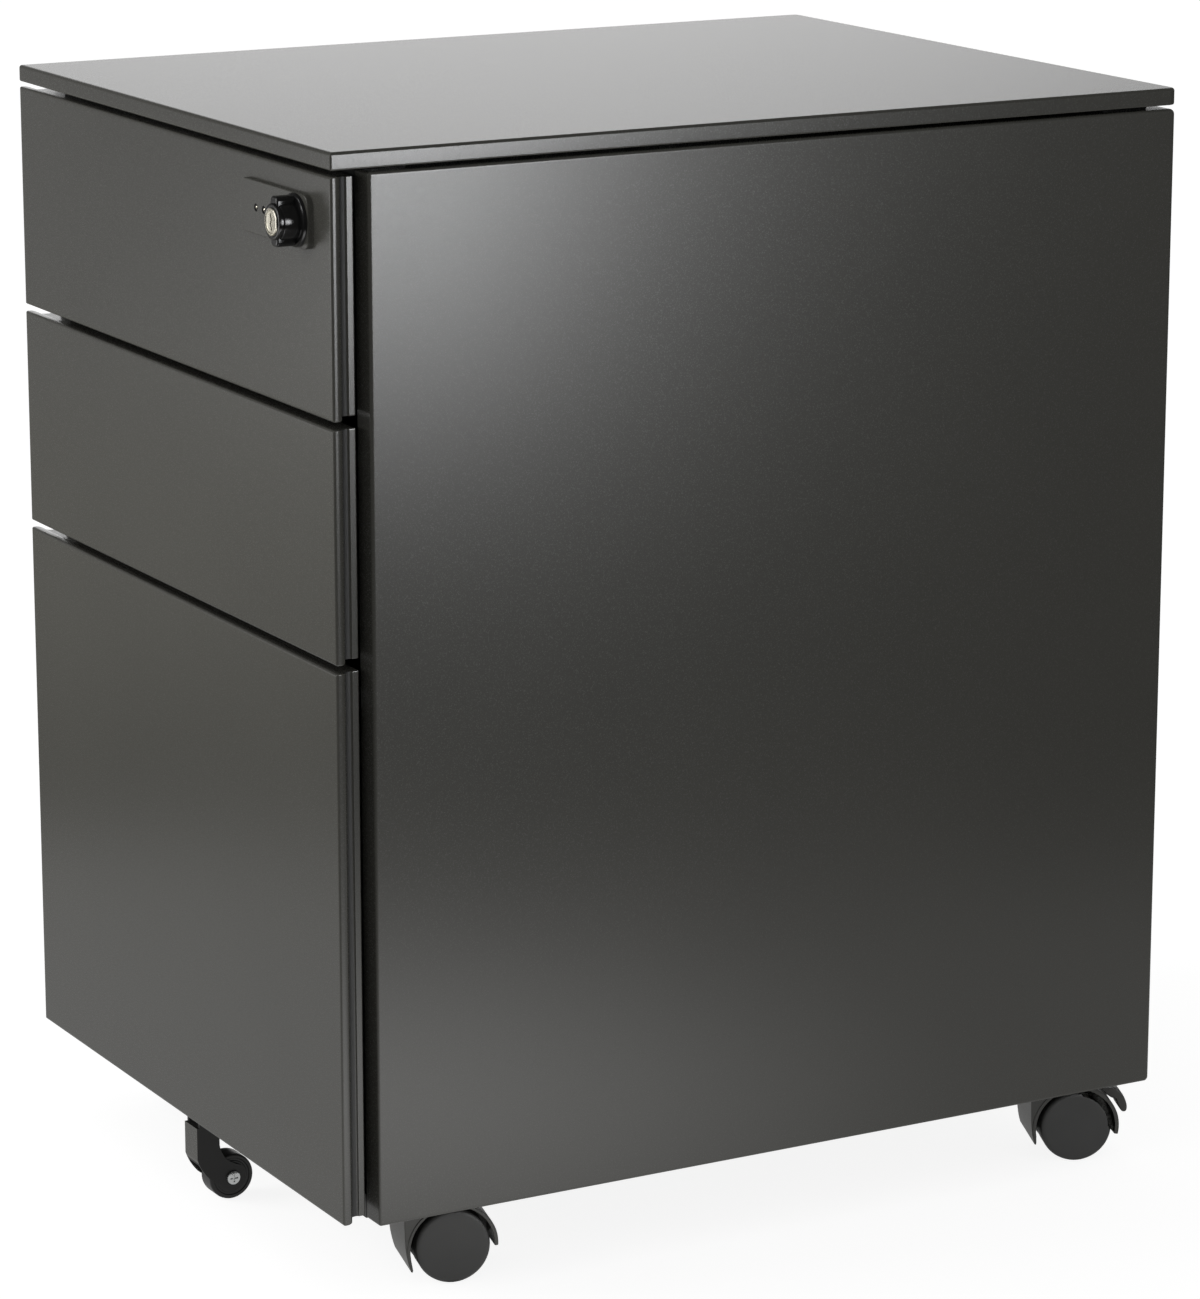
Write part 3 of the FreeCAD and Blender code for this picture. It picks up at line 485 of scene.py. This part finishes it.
# ================================================================ drawers
def build_front_skin(drawer):
    """The outer half of a drawer front: rolled side edges, tighter folds above and below."""
    low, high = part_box(f"{drawer}_front")
    corner = 1.2 * MM
    flat = 2.3 * MM
    depth = high.y - low.y
    profile = [(16.0 * MM, 14.0 * MM, 0.0), (corner + 0.6 * MM, corner + 0.6 * MM, 0.0)]
    for x, y in arc((0, 0), corner, 90, 0, 5):
        profile.append((corner - x, corner - x, corner - y))
    side_curl = depth - flat
    end_curl = 1.4 * MM
    for x, y in arc((0, 0), 1.0, 0, -90, 9):
        profile.append((side_curl * (1 - x), end_curl * (1 - x), flat - side_curl * y))
    profile += [(6.0 * MM, 3.4 * MM, depth), (6.0 * MM, 3.4 * MM, depth - 1.0 * MM)]
    profile += [(4.4 * MM, 2.6 * MM, depth - 1.0 * MM), (1.3 * MM, 1.3 * MM, 2.6 * MM)]
    profile += [(4.0 * MM, 2.5 * MM, 1.0 * MM)]
    mesh = bmesh.new()
    rings = pan_rings(
        (low.x, low.z), (high.x, high.z), [0.8 * MM] * 4, profile,
        lambda u, v, w: Vector((u, low.y + w, v)),
    )
    add_loft(mesh, rings)
    finish_mesh(f"{drawer}_skin", mesh, drawer, paint, [f"{drawer}_front"])


GROOVE_WIDTH = 8.0 * MM         # the part of the liner's sides that is painted dark, as painted shade
GROOVE_DEPTH = 11.0 * MM


def groove_section():
    """Right half of the liner's plan: (in from the cabinet's side, depth), front to back."""
    cove = curve_through((3.9, 6.2), (7.3, 6.9), (7.4, 10.6))
    nose = curve_through((7.4, 10.6), (7.35, 11.5), (6.6, 11.9), 5)
    rear = [(6.6 + 0.8 - x, 14.7 + y) for x, y in arc((0, 0), 0.8, 0, 90, 4)]
    return [(inset * MM, depth * MM) for inset, depth in cove + nose[1:] + rear]


def build_liner(drawer):
    """The inner half of a drawer front, with the finger groove down each side, painted dark there as
    painted shade.
    """
    low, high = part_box(f"{drawer}_liner")
    right = [(HALF - inset, FRONT + depth) for inset, depth in groove_section()]
    left = [(-x, y) for x, y in reversed(right)]
    mesh = bmesh.new()
    soft = 0.6 * MM
    rings = []
    for draw, z in (
        (soft, low.z), (0.2 * soft, low.z + 0.2 * soft), (0.0, low.z + soft),
        (0.0, high.z - soft), (0.2 * soft, high.z - 0.2 * soft), (soft, high.z),
    ):
        rings.append([
            Vector((x - math.copysign(draw, x), y, z)) for x, y in right + left
        ])
    add_loft(mesh, rings)
    liner = finish_mesh(f"{drawer}_groove_liner", mesh, drawer, paint, [f"{drawer}_liner"])
    # painted shade: the groove's faces get the near-black paint
    paint_faces(
        liner, painted_shade_paint,
        lambda middle: abs(middle.x) > HALF - GROOVE_WIDTH and middle.y < FRONT + GROOVE_DEPTH,
    )


def build_tray(drawer):
    """The drawer's box: folded sheet with a rolled hem along the top of its walls."""
    low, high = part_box(f"{drawer}_tray")
    sheet = 1.0 * MM
    fold = 2.0 * MM
    hem = 1.4 * MM
    profile = [(12.0 * MM, low.z), (fold + 0.4 * MM, low.z)]
    profile += [(fold - x, low.z + fold - y) for x, y in arc((0, 0), fold, 90, 0)]
    profile += [(hem - x, high.z - hem + y) for x, y in arc((0, 0), hem, 0, 180, 8)]
    profile += [(2 * hem, high.z - 6.0 * MM), (2 * hem - 0.5 * MM, high.z - 6.6 * MM)]
    profile += [(sheet, high.z - 6.8 * MM), (sheet, low.z + fold + sheet)]
    profile += [(fold + sheet - x, low.z + fold + sheet - y) for x, y in arc((0, 0), fold, 0, 90)]
    mesh = bmesh.new()
    rings = pan_rings(
        (low.x, low.y), (high.x, high.y), [1.2 * MM] * 4,
        [(inset, inset, z) for inset, z in profile], lambda u, v, w: Vector((u, v, w)),
    )
    add_loft(mesh, rings)
    finish_mesh(f"{drawer}_box", mesh, drawer, inner_paint, [f"{drawer}_tray"])


# ================================================================ lock
RECESS_PLACES = (116.0 * MM, 125.0 * MM)    # the plate's two recesses, right of the middle
RECESS = 2.1                                # their radius and depth, in millimetres
RECESS_DEEP = 1.2
WING_HUB = 7.6 * MM                         # the wings start this far above and below the axis


def front_of(node):
    """A node's box, and the middle of the box's front face."""
    low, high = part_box(node)
    return low, high, Vector(((low.x + high.x) / 2, low.y, (low.z + high.z) / 2))


def build_lock_plate():
    """The plate beside the lock. Each of its two round recesses holds a lined cup with a pin."""
    low, high, middle = front_of("lock_plate")
    soft = 0.5 * MM
    profile = [(8.0 * MM, 0.0), (soft, 0.0)]
    profile += [(soft - x, soft - y) for x, y in arc((0, 0), soft, 90, 0, 4)]
    profile += [(0.0, high.y - low.y)]
    plate = bmesh.new()
    add_loft(plate, pan_rings(
        (low.x, low.z), (high.x, high.z), [5.0 * MM] * 4,
        [(inset, inset, w) for inset, w in profile],
        lambda u, v, w: Vector((u, low.y + w, v)),
    ))
    recesses = bmesh.new()
    cups = bmesh.new()
    pins = bmesh.new()
    cup = RECESS - 0.01
    cup_deep = RECESS_DEEP - 0.01
    for x in RECESS_PLACES:
        mouth = (x, low.y, middle.z)
        add_lathe(recesses, in_mm([
            (0.0, -1.0), (RECESS, -1.0), (RECESS, RECESS_DEEP), (0.0, RECESS_DEEP),
        ]), mouth, INWARDS, 32)
        add_lathe(cups, in_mm([
            (0.0, 0.9), (1.5, 0.8), (1.8, 0.1), (cup, 0.1), (cup, cup_deep), (0.0, cup_deep),
        ]), mouth, INWARDS, 32)
        add_lathe(pins, in_mm([
            (0.0, 0.0), (0.5, 0.06), (0.85, 0.3), (1.0, 0.85), (0.0, 0.9),
        ]), mouth, INWARDS, 24)
    finish_mesh(
        "lock_plate_body", plate, "top_drawer", paint, ["lock_plate"], tidy=cut_with(recesses),
    )
    finish_mesh("lock_plate_cups", cups, "top_drawer", black_plastic, [])
    finish_mesh("lock_plate_pins", pins, "top_drawer", nickel, [])


def build_rosette():
    """The black ring on the drawer front, with a fine groove round it and the barrel behind."""
    low, high, middle = front_of("lock_housing")
    radius = (high.x - low.x) / 2
    length = high.y - low.y
    hole = 4.06 * MM
    barrel = 9.0 * MM
    mesh = bmesh.new()
    add_lathe(mesh, [
        (hole, 0.0), (10.9 * MM, 0.0), (11.1 * MM, 0.5 * MM), (11.6 * MM, 0.5 * MM),
        (11.8 * MM, 0.0), (radius - 1.2 * MM, 0.0), (radius - 0.35 * MM, 0.35 * MM),
        (radius, 1.2 * MM), (radius, 2.0 * MM), (barrel, 2.0 * MM), (barrel, length),
        (hole, length), (hole, 0.0),
    ], middle, INWARDS)
    finish_mesh("lock_rosette", mesh, "top_drawer", black_plastic, ["lock_housing"])


def build_knob():
    """The knob: a collared sleeve round the key plug, with a wing above and one below."""
    low, high, middle = front_of("lock_knob")
    tall = (high.z - low.z) / 2
    mesh = bmesh.new()
    add_lathe(mesh, in_mm([
        (7.05, 0.1), (8.5, 0.0), (8.95, 0.2), (9.1, 0.6), (9.1, 1.9), (8.8, 2.1), (8.8, 2.5),
        (9.35, 2.7), (9.6, 3.1), (9.6, 10.8), (7.05, 10.8), (7.05, 0.1),
    ]), middle, INWARDS, 64)
    half = 4.0 * MM
    soft = 0.8 * MM
    set_back = 1.3 * MM
    profile = [(2.0 * MM, set_back), (soft, set_back)]
    profile += [(soft - x, set_back + soft - y) for x, y in arc((0, 0), soft, 90, 0)]
    profile += [(0.0, high.y - low.y)]
    at_hub = 0.4 * MM
    at_tip = 2.5 * MM
    for foot, head, radii in (
        (WING_HUB, tall, [at_hub, at_hub, at_tip, at_tip]),
        (-tall, -WING_HUB, [at_tip, at_tip, at_hub, at_hub]),
    ):
        add_loft(mesh, pan_rings(
            (-half, foot), (half, head), radii, [(inset, inset, w) for inset, w in profile],
            lambda u, v, w: middle + Vector((u, w, v)),
        ))
    finish_mesh("lock_wing_knob", mesh, "lock_knob", black_plastic, ["lock_knob"])


def build_key_plug():
    """The nickel key plug, with a wavy keyway cut in it and a black insert in the cut as painted
    shade.
    """
    low, high, middle = front_of("key_cylinder")
    length = (high.y - low.y) / MM
    plug = bmesh.new()
    add_lathe(plug, in_mm([
        (0.0, 0.35), (5.3, 0.35), (5.6, 0.25), (5.8, 0.0), (6.6, 0.0), (6.9, 0.15), (7.0, 0.45),
        (7.0, 11.4), (4.0, 11.4), (4.0, length), (0.0, length),
    ]), middle, INWARDS, 64)
    slot = []
    for step in range(17):
        up = 4.2 - 8.4 * step / 16
        slot.append((0.55 + 0.45 * math.sin(up * 1.5), up))
    slot += [(x - 1.25, up) for x, up in reversed(slot)]
    keyway = bmesh.new()
    add_prism(
        keyway, [middle + Vector((x * MM, -1.0 * MM, up * MM)) for x, up in slot],
        (0, 6.0 * MM, 0),
    )
    finish_mesh("key_plug", plug, "lock_knob", nickel, ["key_cylinder"], tidy=cut_with(keyway))
    # painted shade: a black insert fills the keyway behind its mouth to darken it
    keyway_shade_insert = bmesh.new()
    add_prism(
        keyway_shade_insert, [middle + Vector((0.98 * x * MM, 1.1 * MM, 0.99 * up * MM)) for x, up in slot],
        (0, 3.8 * MM, 0),
    )
    finish_mesh("keyway_painted_shade", keyway_shade_insert, "lock_knob", black_plastic, [])


# ================================================================ casters
# A caster's outlines are in millimetres from the wheel centre: away from the stem, then up.
HOOD_HALF = 19.5                # half widths across the caster
LIP_HALF = 20.0
WEB_HALF = 4.0
POCKET_HALF = 6.4
LEVER_HALF = 6.0
HOOD_OPENING = 22.0             # radius of the hood's inside over the wheels
SKIRT_TURN = 192.0              # degrees at which the hood ends on the stem's side


def caster_space(caster):
    """Wheel centre, the axle's direction, and what places (away, up, across) millimetres."""
    joints = {joint["name"]: joint for joint in frame["joints"]}
    spin = joints[f"{caster}_wheel_left_spin"]
    centre = Vector(spin["pos_m"])
    stem = Vector(joints[f"{caster}_swivel"]["pos_m"])
    along = Vector((centre.x - stem.x, centre.y - stem.y, 0.0)).normalized()
    across = Vector(spin["axis"]).normalized()

    def at(s, t, a):
        return centre + along * (s * MM) + Vector((0, 0, t * MM)) + across * (a * MM)

    return centre, across, at


def add_caster_slab(mesh, caster, outline, half):
    """An outline, made as thick as twice the half width across the caster."""
    across, at = caster_space(caster)[1:]
    add_prism(mesh, [at(s, t, -half) for s, t in outline], across * (2 * half * MM))


def hood_opening(end):
    """The hood's inside from the skirt to its end over the wheels, wider towards the skirt."""
    points = []
    for step in range(33):
        turn = SKIRT_TURN - (SKIRT_TURN - end) * step / 32
        radius = HOOD_OPENING + 0.011 * max(0.0, turn - 90.0)
        angle = math.radians(turn)
        points.append((radius * math.cos(angle), radius * math.sin(angle)))
    return points


def build_hood(caster, braked):
    """The hood with its lip, and the web between the wheels. A braked one has a lever pocket."""
    end = -12.0 if braked else -3.0
    tip = (-23.6, -9.2) if braked else (-22.6, -12.0)
    inside = hood_opening(end)
    outside = arc((0, 0), 24.2, end, 18, 6)
    outside += curve_through((23.0, 7.5), (19.4, 17.4), (9.0, 23.2), 9)[1:]
    outside += curve_through((9.0, 23.2), (-5.0, 24.4), (-8.0, 31.4), 7)[1:]
    outside += curve_through((-21.5, 31.4), (-25.4, 30.0), (-26.0, 24.0), 6)
    outside += curve_through((-26.0, 24.0), (-26.1, 10.0), (-25.6, 2.0), 6)[1:]
    outside += curve_through((-25.6, 2.0), (-25.0, -5.0), tip, 5)[1:]
    outside += [(tip[0] + 0.8, tip[1] - 0.3), (tip[0] + 1.1, tip[1] + 0.8)]
    lip = [(1.075 * s, 1.075 * t) for s, t in reversed(inside)]
    web = arc((0, 0), 22.8, 4, 194, 24) + arc((0, 0), 9.0, 200, 340, 14)
    mesh = bmesh.new()
    add_caster_slab(mesh, caster, outside + inside, HOOD_HALF)
    add_caster_slab(mesh, caster, lip + inside, LIP_HALF)
    add_caster_slab(mesh, caster, web, WEB_HALF)
    tidy = bevelled(0.7 * MM, 3)
    if braked:
        pocket = bmesh.new()
        room = [(12.0, 26.0), (12.0, 17.0), (18.0, 8.0), (27.0, 3.5), (31.0, 18.0), (26.0, 26.0)]
        add_caster_slab(pocket, caster, room, POCKET_HALF)
        tidy = in_turn(cut_with(pocket), tidy)
    finish_mesh(
        f"{caster}_hood_shell", mesh, f"{caster}_hood", hood_plastic, [f"{caster}_hood"],
        tidy=tidy,
    )


def build_wheels(caster):
    """The two wheels: rounded treads, a shallow dish on the inner face, a domed outer face."""
    centre, across = caster_space(caster)[:2]
    inner = 5.0
    outer = 19.6
    for side, sign in (("left", 1.0), ("right", -1.0)):
        mesh = bmesh.new()
        add_lathe(mesh, in_mm([
            (2.1, inner), (4.5, inner), (4.7, inner + 0.6), (15.5, inner + 0.6), (16.0, inner),
            (18.6, inner), (19.6, inner + 0.4), (20.0, inner + 1.4), (20.0, outer - 2.0),
            (19.8, outer - 1.2), (19.2, outer - 0.5), (18.3, outer - 0.15), (17.0, outer),
            (0.0, outer + 0.2),
        ]), centre, across * sign, 64)
        node = f"{caster}_wheel_{side}"
        finish_mesh(f"{node}_tyre", mesh, node, wheel_plastic, [node], sharp=50)


def build_brake_lever(caster):
    """The foot lever, hooked down at its free end."""
    lever = [(14.7, 20.2), (18.5, 19.2)]
    lever += curve_through((20.5, 18.6), (29.0, 17.6), (31.6, 7.4), 9)
    lever += curve_through((31.8, 6.4), (32.2, 2.4), (29.4, 3.0), 5)
    lever += curve_through((28.8, 3.4), (26.0, 6.6), (25.3, 10.6), 5)
    lever += [(22.6, 11.6), (15.3, 16.8)]
    mesh = bmesh.new()
    add_caster_slab(mesh, caster, lever, LEVER_HALF)
    node = f"{caster}_brake_lever"
    finish_mesh(f"{node}_tab", mesh, node, hood_plastic, [node], tidy=bevelled(0.8 * MM, 3))


# ================================================================ anti-tilt wheel
def build_roller():
    """The small wheel under the file drawer, with a ring groove in each face."""
    low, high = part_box("fifth_wheel")
    radius = (high.z - low.z) / 2
    half = (high.x - low.x) / 2
    soft = 1.2 * MM
    side = [(2.1 * MM, half), (radius - 4.0 * MM, half), (radius - 3.6 * MM, half - 0.4 * MM)]
    side += [(radius - 2.6 * MM, half - 0.4 * MM), (radius - 2.2 * MM, half)]
    side += [(radius - soft + x, half - soft + y) for x, y in arc((0, 0), soft, 90, 0, 4)]
    profile = side + [(r, -x) for r, x in reversed(side)] + [side[0]]
    mesh = bmesh.new()
    add_lathe(mesh, profile, (low + high) / 2, (1, 0, 0), 56)
    finish_mesh("anti_tilt_roller", mesh, "fifth_wheel", roller_plastic, ["fifth_wheel"])


def build_bracket():
    """The roller's bracket: a folded sheet whose two cheeks run down to the axle, painted near black
    as painted shade.
    """
    low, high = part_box("fifth_wheel_bracket")
    front = low.y

    def at(x, depth, z):
        return Vector((x * MM, front + depth * MM, z * MM))

    top = high.z / MM - 1.2
    plate_top, plate_foot = 44.4, 26.5
    step_back = 1.6
    cheek = [(0.0, plate_foot), (0.0, plate_top), (step_back, plate_top), (step_back, top)]
    cheek += [(13.4, top)]
    cheek += curve_through((13.4, 33.0), (14.4, 23.6), (24.6, 20.0), 8)
    cheek += arc((21.0, 13.1), 8.0, 63, -110, 16)[1:]
    cheek += curve_through((7.0, 14.5), (2.0, 20.0), (0.0, plate_foot), 6)[:-1]
    half = 8.0
    mesh = bmesh.new()
    add_prism(mesh, [at(-half, depth, z) for depth, z in cheek], (2 * half * MM, 0, 0))
    sheet = 1.5
    inner = half - sheet
    room = rounded_rectangle(-inner, inner, sheet, 40.0, [1.0, 1.0, 0.1, 0.1])
    hollow = bmesh.new()
    add_prism(hollow, [at(x, depth, 0.0) for x, depth in room], (0, 0, (top - sheet) * MM))
    bracket = finish_mesh(
        "anti_tilt_bracket", mesh, "file_drawer", paint, ["fifth_wheel_bracket"],
        tidy=in_turn(cut_with(hollow), bevelled(0.5 * MM, 2)),
    )
    # painted shade: the cheeks behind the front plate get the near-black paint
    paint_faces(bracket, painted_shade_paint, lambda middle: middle.y > front + 0.4 * MM)


def build_axle_screw():
    """The roller's axle: a screw with a cross cut in its domed head."""
    low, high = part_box("fifth_wheel")
    centre = (low + high) / 2
    mesh = bmesh.new()
    add_lathe(mesh, in_mm([
        (0.0, -10.2), (2.0, -10.2), (3.4, -10.0), (3.6, -9.7), (3.6, -8.1), (2.0, -8.1), (2.0, 8.05),
        (4.0, 8.05), (4.0, 8.5), (3.7, 9.1), (2.9, 9.45), (0.0, 9.6),
    ]), (0.0, centre.y, centre.z), (1, 0, 0), 40)
    cross = bmesh.new()
    long, narrow = 2.3, 0.45
    for width, height in ((narrow, long), (long, narrow)):
        bar = [(-width, -height), (width, -height), (width, height), (-width, height)]
        add_prism(
            cross, [Vector((8.7 * MM, centre.y + y * MM, centre.z + z * MM)) for y, z in bar],
            (2.0 * MM, 0, 0),
        )
    finish_mesh(
        "anti_tilt_axle_screw", mesh, "file_drawer", screw_zinc, ["fifth_wheel_axle"],
        tidy=cut_with(cross),
    )


# ================================================================ build the object
build_lid()
build_side("right_side_panel", "right_side_shell")
build_side("left_side_panel", "left_side_shell")
build_back()
for drawer in DRAWERS:
    build_front_skin(drawer)
    build_liner(drawer)
    build_tray(drawer)
    carry_over(zinc, f"{drawer}_middle_runners", f"{drawer}_inner_runners")
    carry_over(screw_zinc, f"{drawer}_front_screws")
build_lock_plate()
build_rosette()
build_knob()
build_key_plug()
for end in ("front", "rear"):
    for side in ("left", "right"):
        caster = f"{end}_{side}_caster"
        build_hood(caster, braked=end == "rear")
        build_wheels(caster)
        if end == "rear":
            build_brake_lever(caster)
        carry_over(screw_zinc, f"{caster}_axle")
build_roller()
build_bracket()
build_axle_screw()
carry_over(inner_paint, "base_pan", "top_rails", "runner_posts")
carry_over(zinc, "fixed_runners", "lock_bar", "lock_crank", "file_rails", "caster_plates")
carry_over(zinc, "middle_drawer_catch", "file_drawer_catch")
carry_over(screw_zinc, "caster_screws", "lock_nut")
carry_over(nylon, "lock_bar_guides")


# ================================================================ floor, light and camera
FLOOR_SEEN = 0.88               # what the floor glows for the camera, and for the object
FLOOR_BOUNCE = 0.30
ROOM = 0.45                     # the room's level for soft light, and in reflections
MIRRORED_ROOM = 0.05
CAMERA_PLACE = (2.3425, -1.2834, 0.9407)
CAMERA_AZIMUTH = 60.99
CAMERA_DIP = 13.854
FOCAL_LENGTH = 137.45           # millimetres on a sensor 36 mm wide


def flat_square(name, half, material):
    """A staged square in the ground plane, round the origin."""
    mesh = bmesh.new()
    bmesh.ops.create_grid(mesh, x_segments=1, y_segments=1, size=half)
    data = bpy.data.meshes.new(name)
    mesh.to_mesh(data)
    mesh.free()
    data.materials.append(material)
    square = bpy.data.objects.new(name, data)
    bpy.context.scene.collection.objects.link(square)
    return square


def build_floor():
    """A plain pale floor. The paint doesn't mirror it: it mirrors the light cards instead."""
    material, tree, shader = new_material("pale_floor")
    at = object_coordinates(tree)
    tone = mixed_colour(tree, noise(tree, at, 3.0, 4.0), (0.28, 0.28, 0.28), (0.31, 0.31, 0.31))
    tree.links.new(tone, shader.inputs["Base Color"])
    shader.inputs["Roughness"].default_value = 1.0
    shader.inputs["Specular IOR Level"].default_value = 0.0
    shader.inputs["Emission Color"].default_value = (1.0, 1.0, 1.0, 1.0)
    path = tree.nodes.new("ShaderNodeLightPath")
    glow = tree.nodes.new("ShaderNodeMapRange")
    glow.inputs["To Min"].default_value = FLOOR_BOUNCE
    glow.inputs["To Max"].default_value = FLOOR_SEEN
    tree.links.new(path.outputs["Is Camera Ray"], glow.inputs["Value"])
    tree.links.new(glow.outputs["Result"], shader.inputs["Emission Strength"])
    dark = tree.nodes.new("ShaderNodeEmission")
    dark.inputs["Strength"].default_value = 0.0
    blend = tree.nodes.new("ShaderNodeMixShader")
    tree.links.new(path.outputs["Is Glossy Ray"], blend.inputs["Fac"])
    tree.links.new(shader.outputs["BSDF"], blend.inputs[1])
    tree.links.new(dark.outputs["Emission"], blend.inputs[2])
    tree.links.new(blend.outputs["Shader"], tree.nodes["Material Output"].inputs["Surface"])
    flat_square("floor", 12.0, material)


def light_card(name, centre, facing, size, strength, soft, colour=(1.0, 1.0, 1.0)):
    """A soft-edged oval of light, seen only in reflections."""
    material = bpy.data.materials.new(name + "_glow")
    material.use_nodes = True
    tree = material.node_tree
    tree.nodes.clear()
    output = tree.nodes.new("ShaderNodeOutputMaterial")
    glow = tree.nodes.new("ShaderNodeEmission")
    glow.inputs["Color"].default_value = (*colour, 1.0)
    glow.inputs["Strength"].default_value = strength
    clear = tree.nodes.new("ShaderNodeBsdfTransparent")
    blend = tree.nodes.new("ShaderNodeMixShader")
    length = tree.nodes.new("ShaderNodeVectorMath")
    length.operation = "LENGTH"
    tree.links.new(object_coordinates(tree), length.inputs[0])
    fade = tree.nodes.new("ShaderNodeMapRange")
    fade.interpolation_type = "SMOOTHSTEP"
    fade.inputs["From Min"].default_value = 1.0
    fade.inputs["From Max"].default_value = 1.0 - soft
    tree.links.new(length.outputs["Value"], fade.inputs["Value"])
    tree.links.new(fade.outputs["Result"], blend.inputs["Fac"])
    tree.links.new(clear.outputs["BSDF"], blend.inputs[1])
    tree.links.new(glow.outputs["Emission"], blend.inputs[2])
    tree.links.new(blend.outputs["Shader"], output.inputs["Surface"])
    card = flat_square(name, 1.0, material)
    turn = Vector(facing).to_track_quat("Z", "Y").to_matrix().to_4x4()
    card.matrix_world = Matrix.Translation(centre) @ turn @ Matrix.Diagonal((*size, 1.0, 1.0))
    card.visible_camera = False
    card.visible_diffuse = False
    card.visible_shadow = False


def area_light(name, place, aim, size, power):
    """A soft box."""
    data = bpy.data.lights.new(name, "AREA")
    data.shape = "SQUARE"
    data.size = size
    data.energy = power
    light = bpy.data.objects.new(name, data)
    light.location = place
    light.rotation_euler = (Vector(aim) - Vector(place)).to_track_quat("-Z", "Y").to_euler()
    bpy.context.scene.collection.objects.link(light)


def build_light():
    """White for the camera, a soft grey room for the rest, and the cards the paint mirrors."""
    world = bpy.data.worlds.new("studio")
    bpy.context.scene.world = world
    world.use_nodes = True
    tree = world.node_tree
    background = tree.nodes["Background"]
    seen = tree.nodes.new("ShaderNodeLightPath")
    room = tree.nodes.new("ShaderNodeMix")
    room.data_type = "RGBA"
    room.inputs["A"].default_value = (ROOM, ROOM, ROOM, 1.0)
    room.inputs["B"].default_value = (MIRRORED_ROOM, MIRRORED_ROOM, MIRRORED_ROOM, 1.0)
    tree.links.new(seen.outputs["Is Glossy Ray"], room.inputs["Factor"])
    tone = tree.nodes.new("ShaderNodeMix")
    tone.data_type = "RGBA"
    tone.inputs["B"].default_value = (1.0, 1.0, 1.0, 1.0)
    tree.links.new(room.outputs["Result"], tone.inputs["A"])
    tree.links.new(seen.outputs["Is Camera Ray"], tone.inputs["Factor"])
    tree.links.new(tone.outputs["Result"], background.inputs["Color"])
    background.inputs["Strength"].default_value = 1.0

    up, left, right = (0, 0, 1), (-1, 0, 0), (1, 0, 0)
    light_card("floor_pool", (0.0, 0.0, 0.001), up, (1.03, 1.03), 0.5, 0.3)
    light_card(
        "floor_glow", (-1.5, -0.95, 0.0015), up, (1.4, 1.4), 0.33, 0.9, (1.0, 0.98, 0.88),
    )
    light_card("floor_hot_spot", (0.55, -0.14, 0.002), up, (0.47, 0.47), 2.5, 0.95)
    light_card("key_box", (1.5, 0.415, 0.58), left, (0.24, 0.50), 19.0, 0.7, (0.97, 0.98, 1.0))
    light_card("fill_box", (-2.0, -2.03, -0.14), right, (0.93, 0.93), 4.0, 0.9)
    light_card("backdrop", (-2.2, 1.11, 0.35), right, (2.7, 1.6), 1.6, 0.8)
    area_light("front_fill", (-1.2, -3.0, 1.6), (0.0, 0.0, 0.3), 1.8, 42.0)


def build_camera():
    """A long lens to the right of the front, a little above the lid."""
    data = bpy.data.cameras.new("camera")
    data.sensor_width = 36.0
    data.lens = FOCAL_LENGTH
    camera = bpy.data.objects.new("camera", data)
    camera.location = CAMERA_PLACE
    camera.rotation_euler = (math.radians(90.0 - CAMERA_DIP), 0.0, math.radians(CAMERA_AZIMUTH))
    bpy.context.scene.collection.objects.link(camera)
    bpy.context.scene.camera = camera


build_floor()
build_light()
build_camera()
bpy.context.scene.view_settings.view_transform = "Standard"
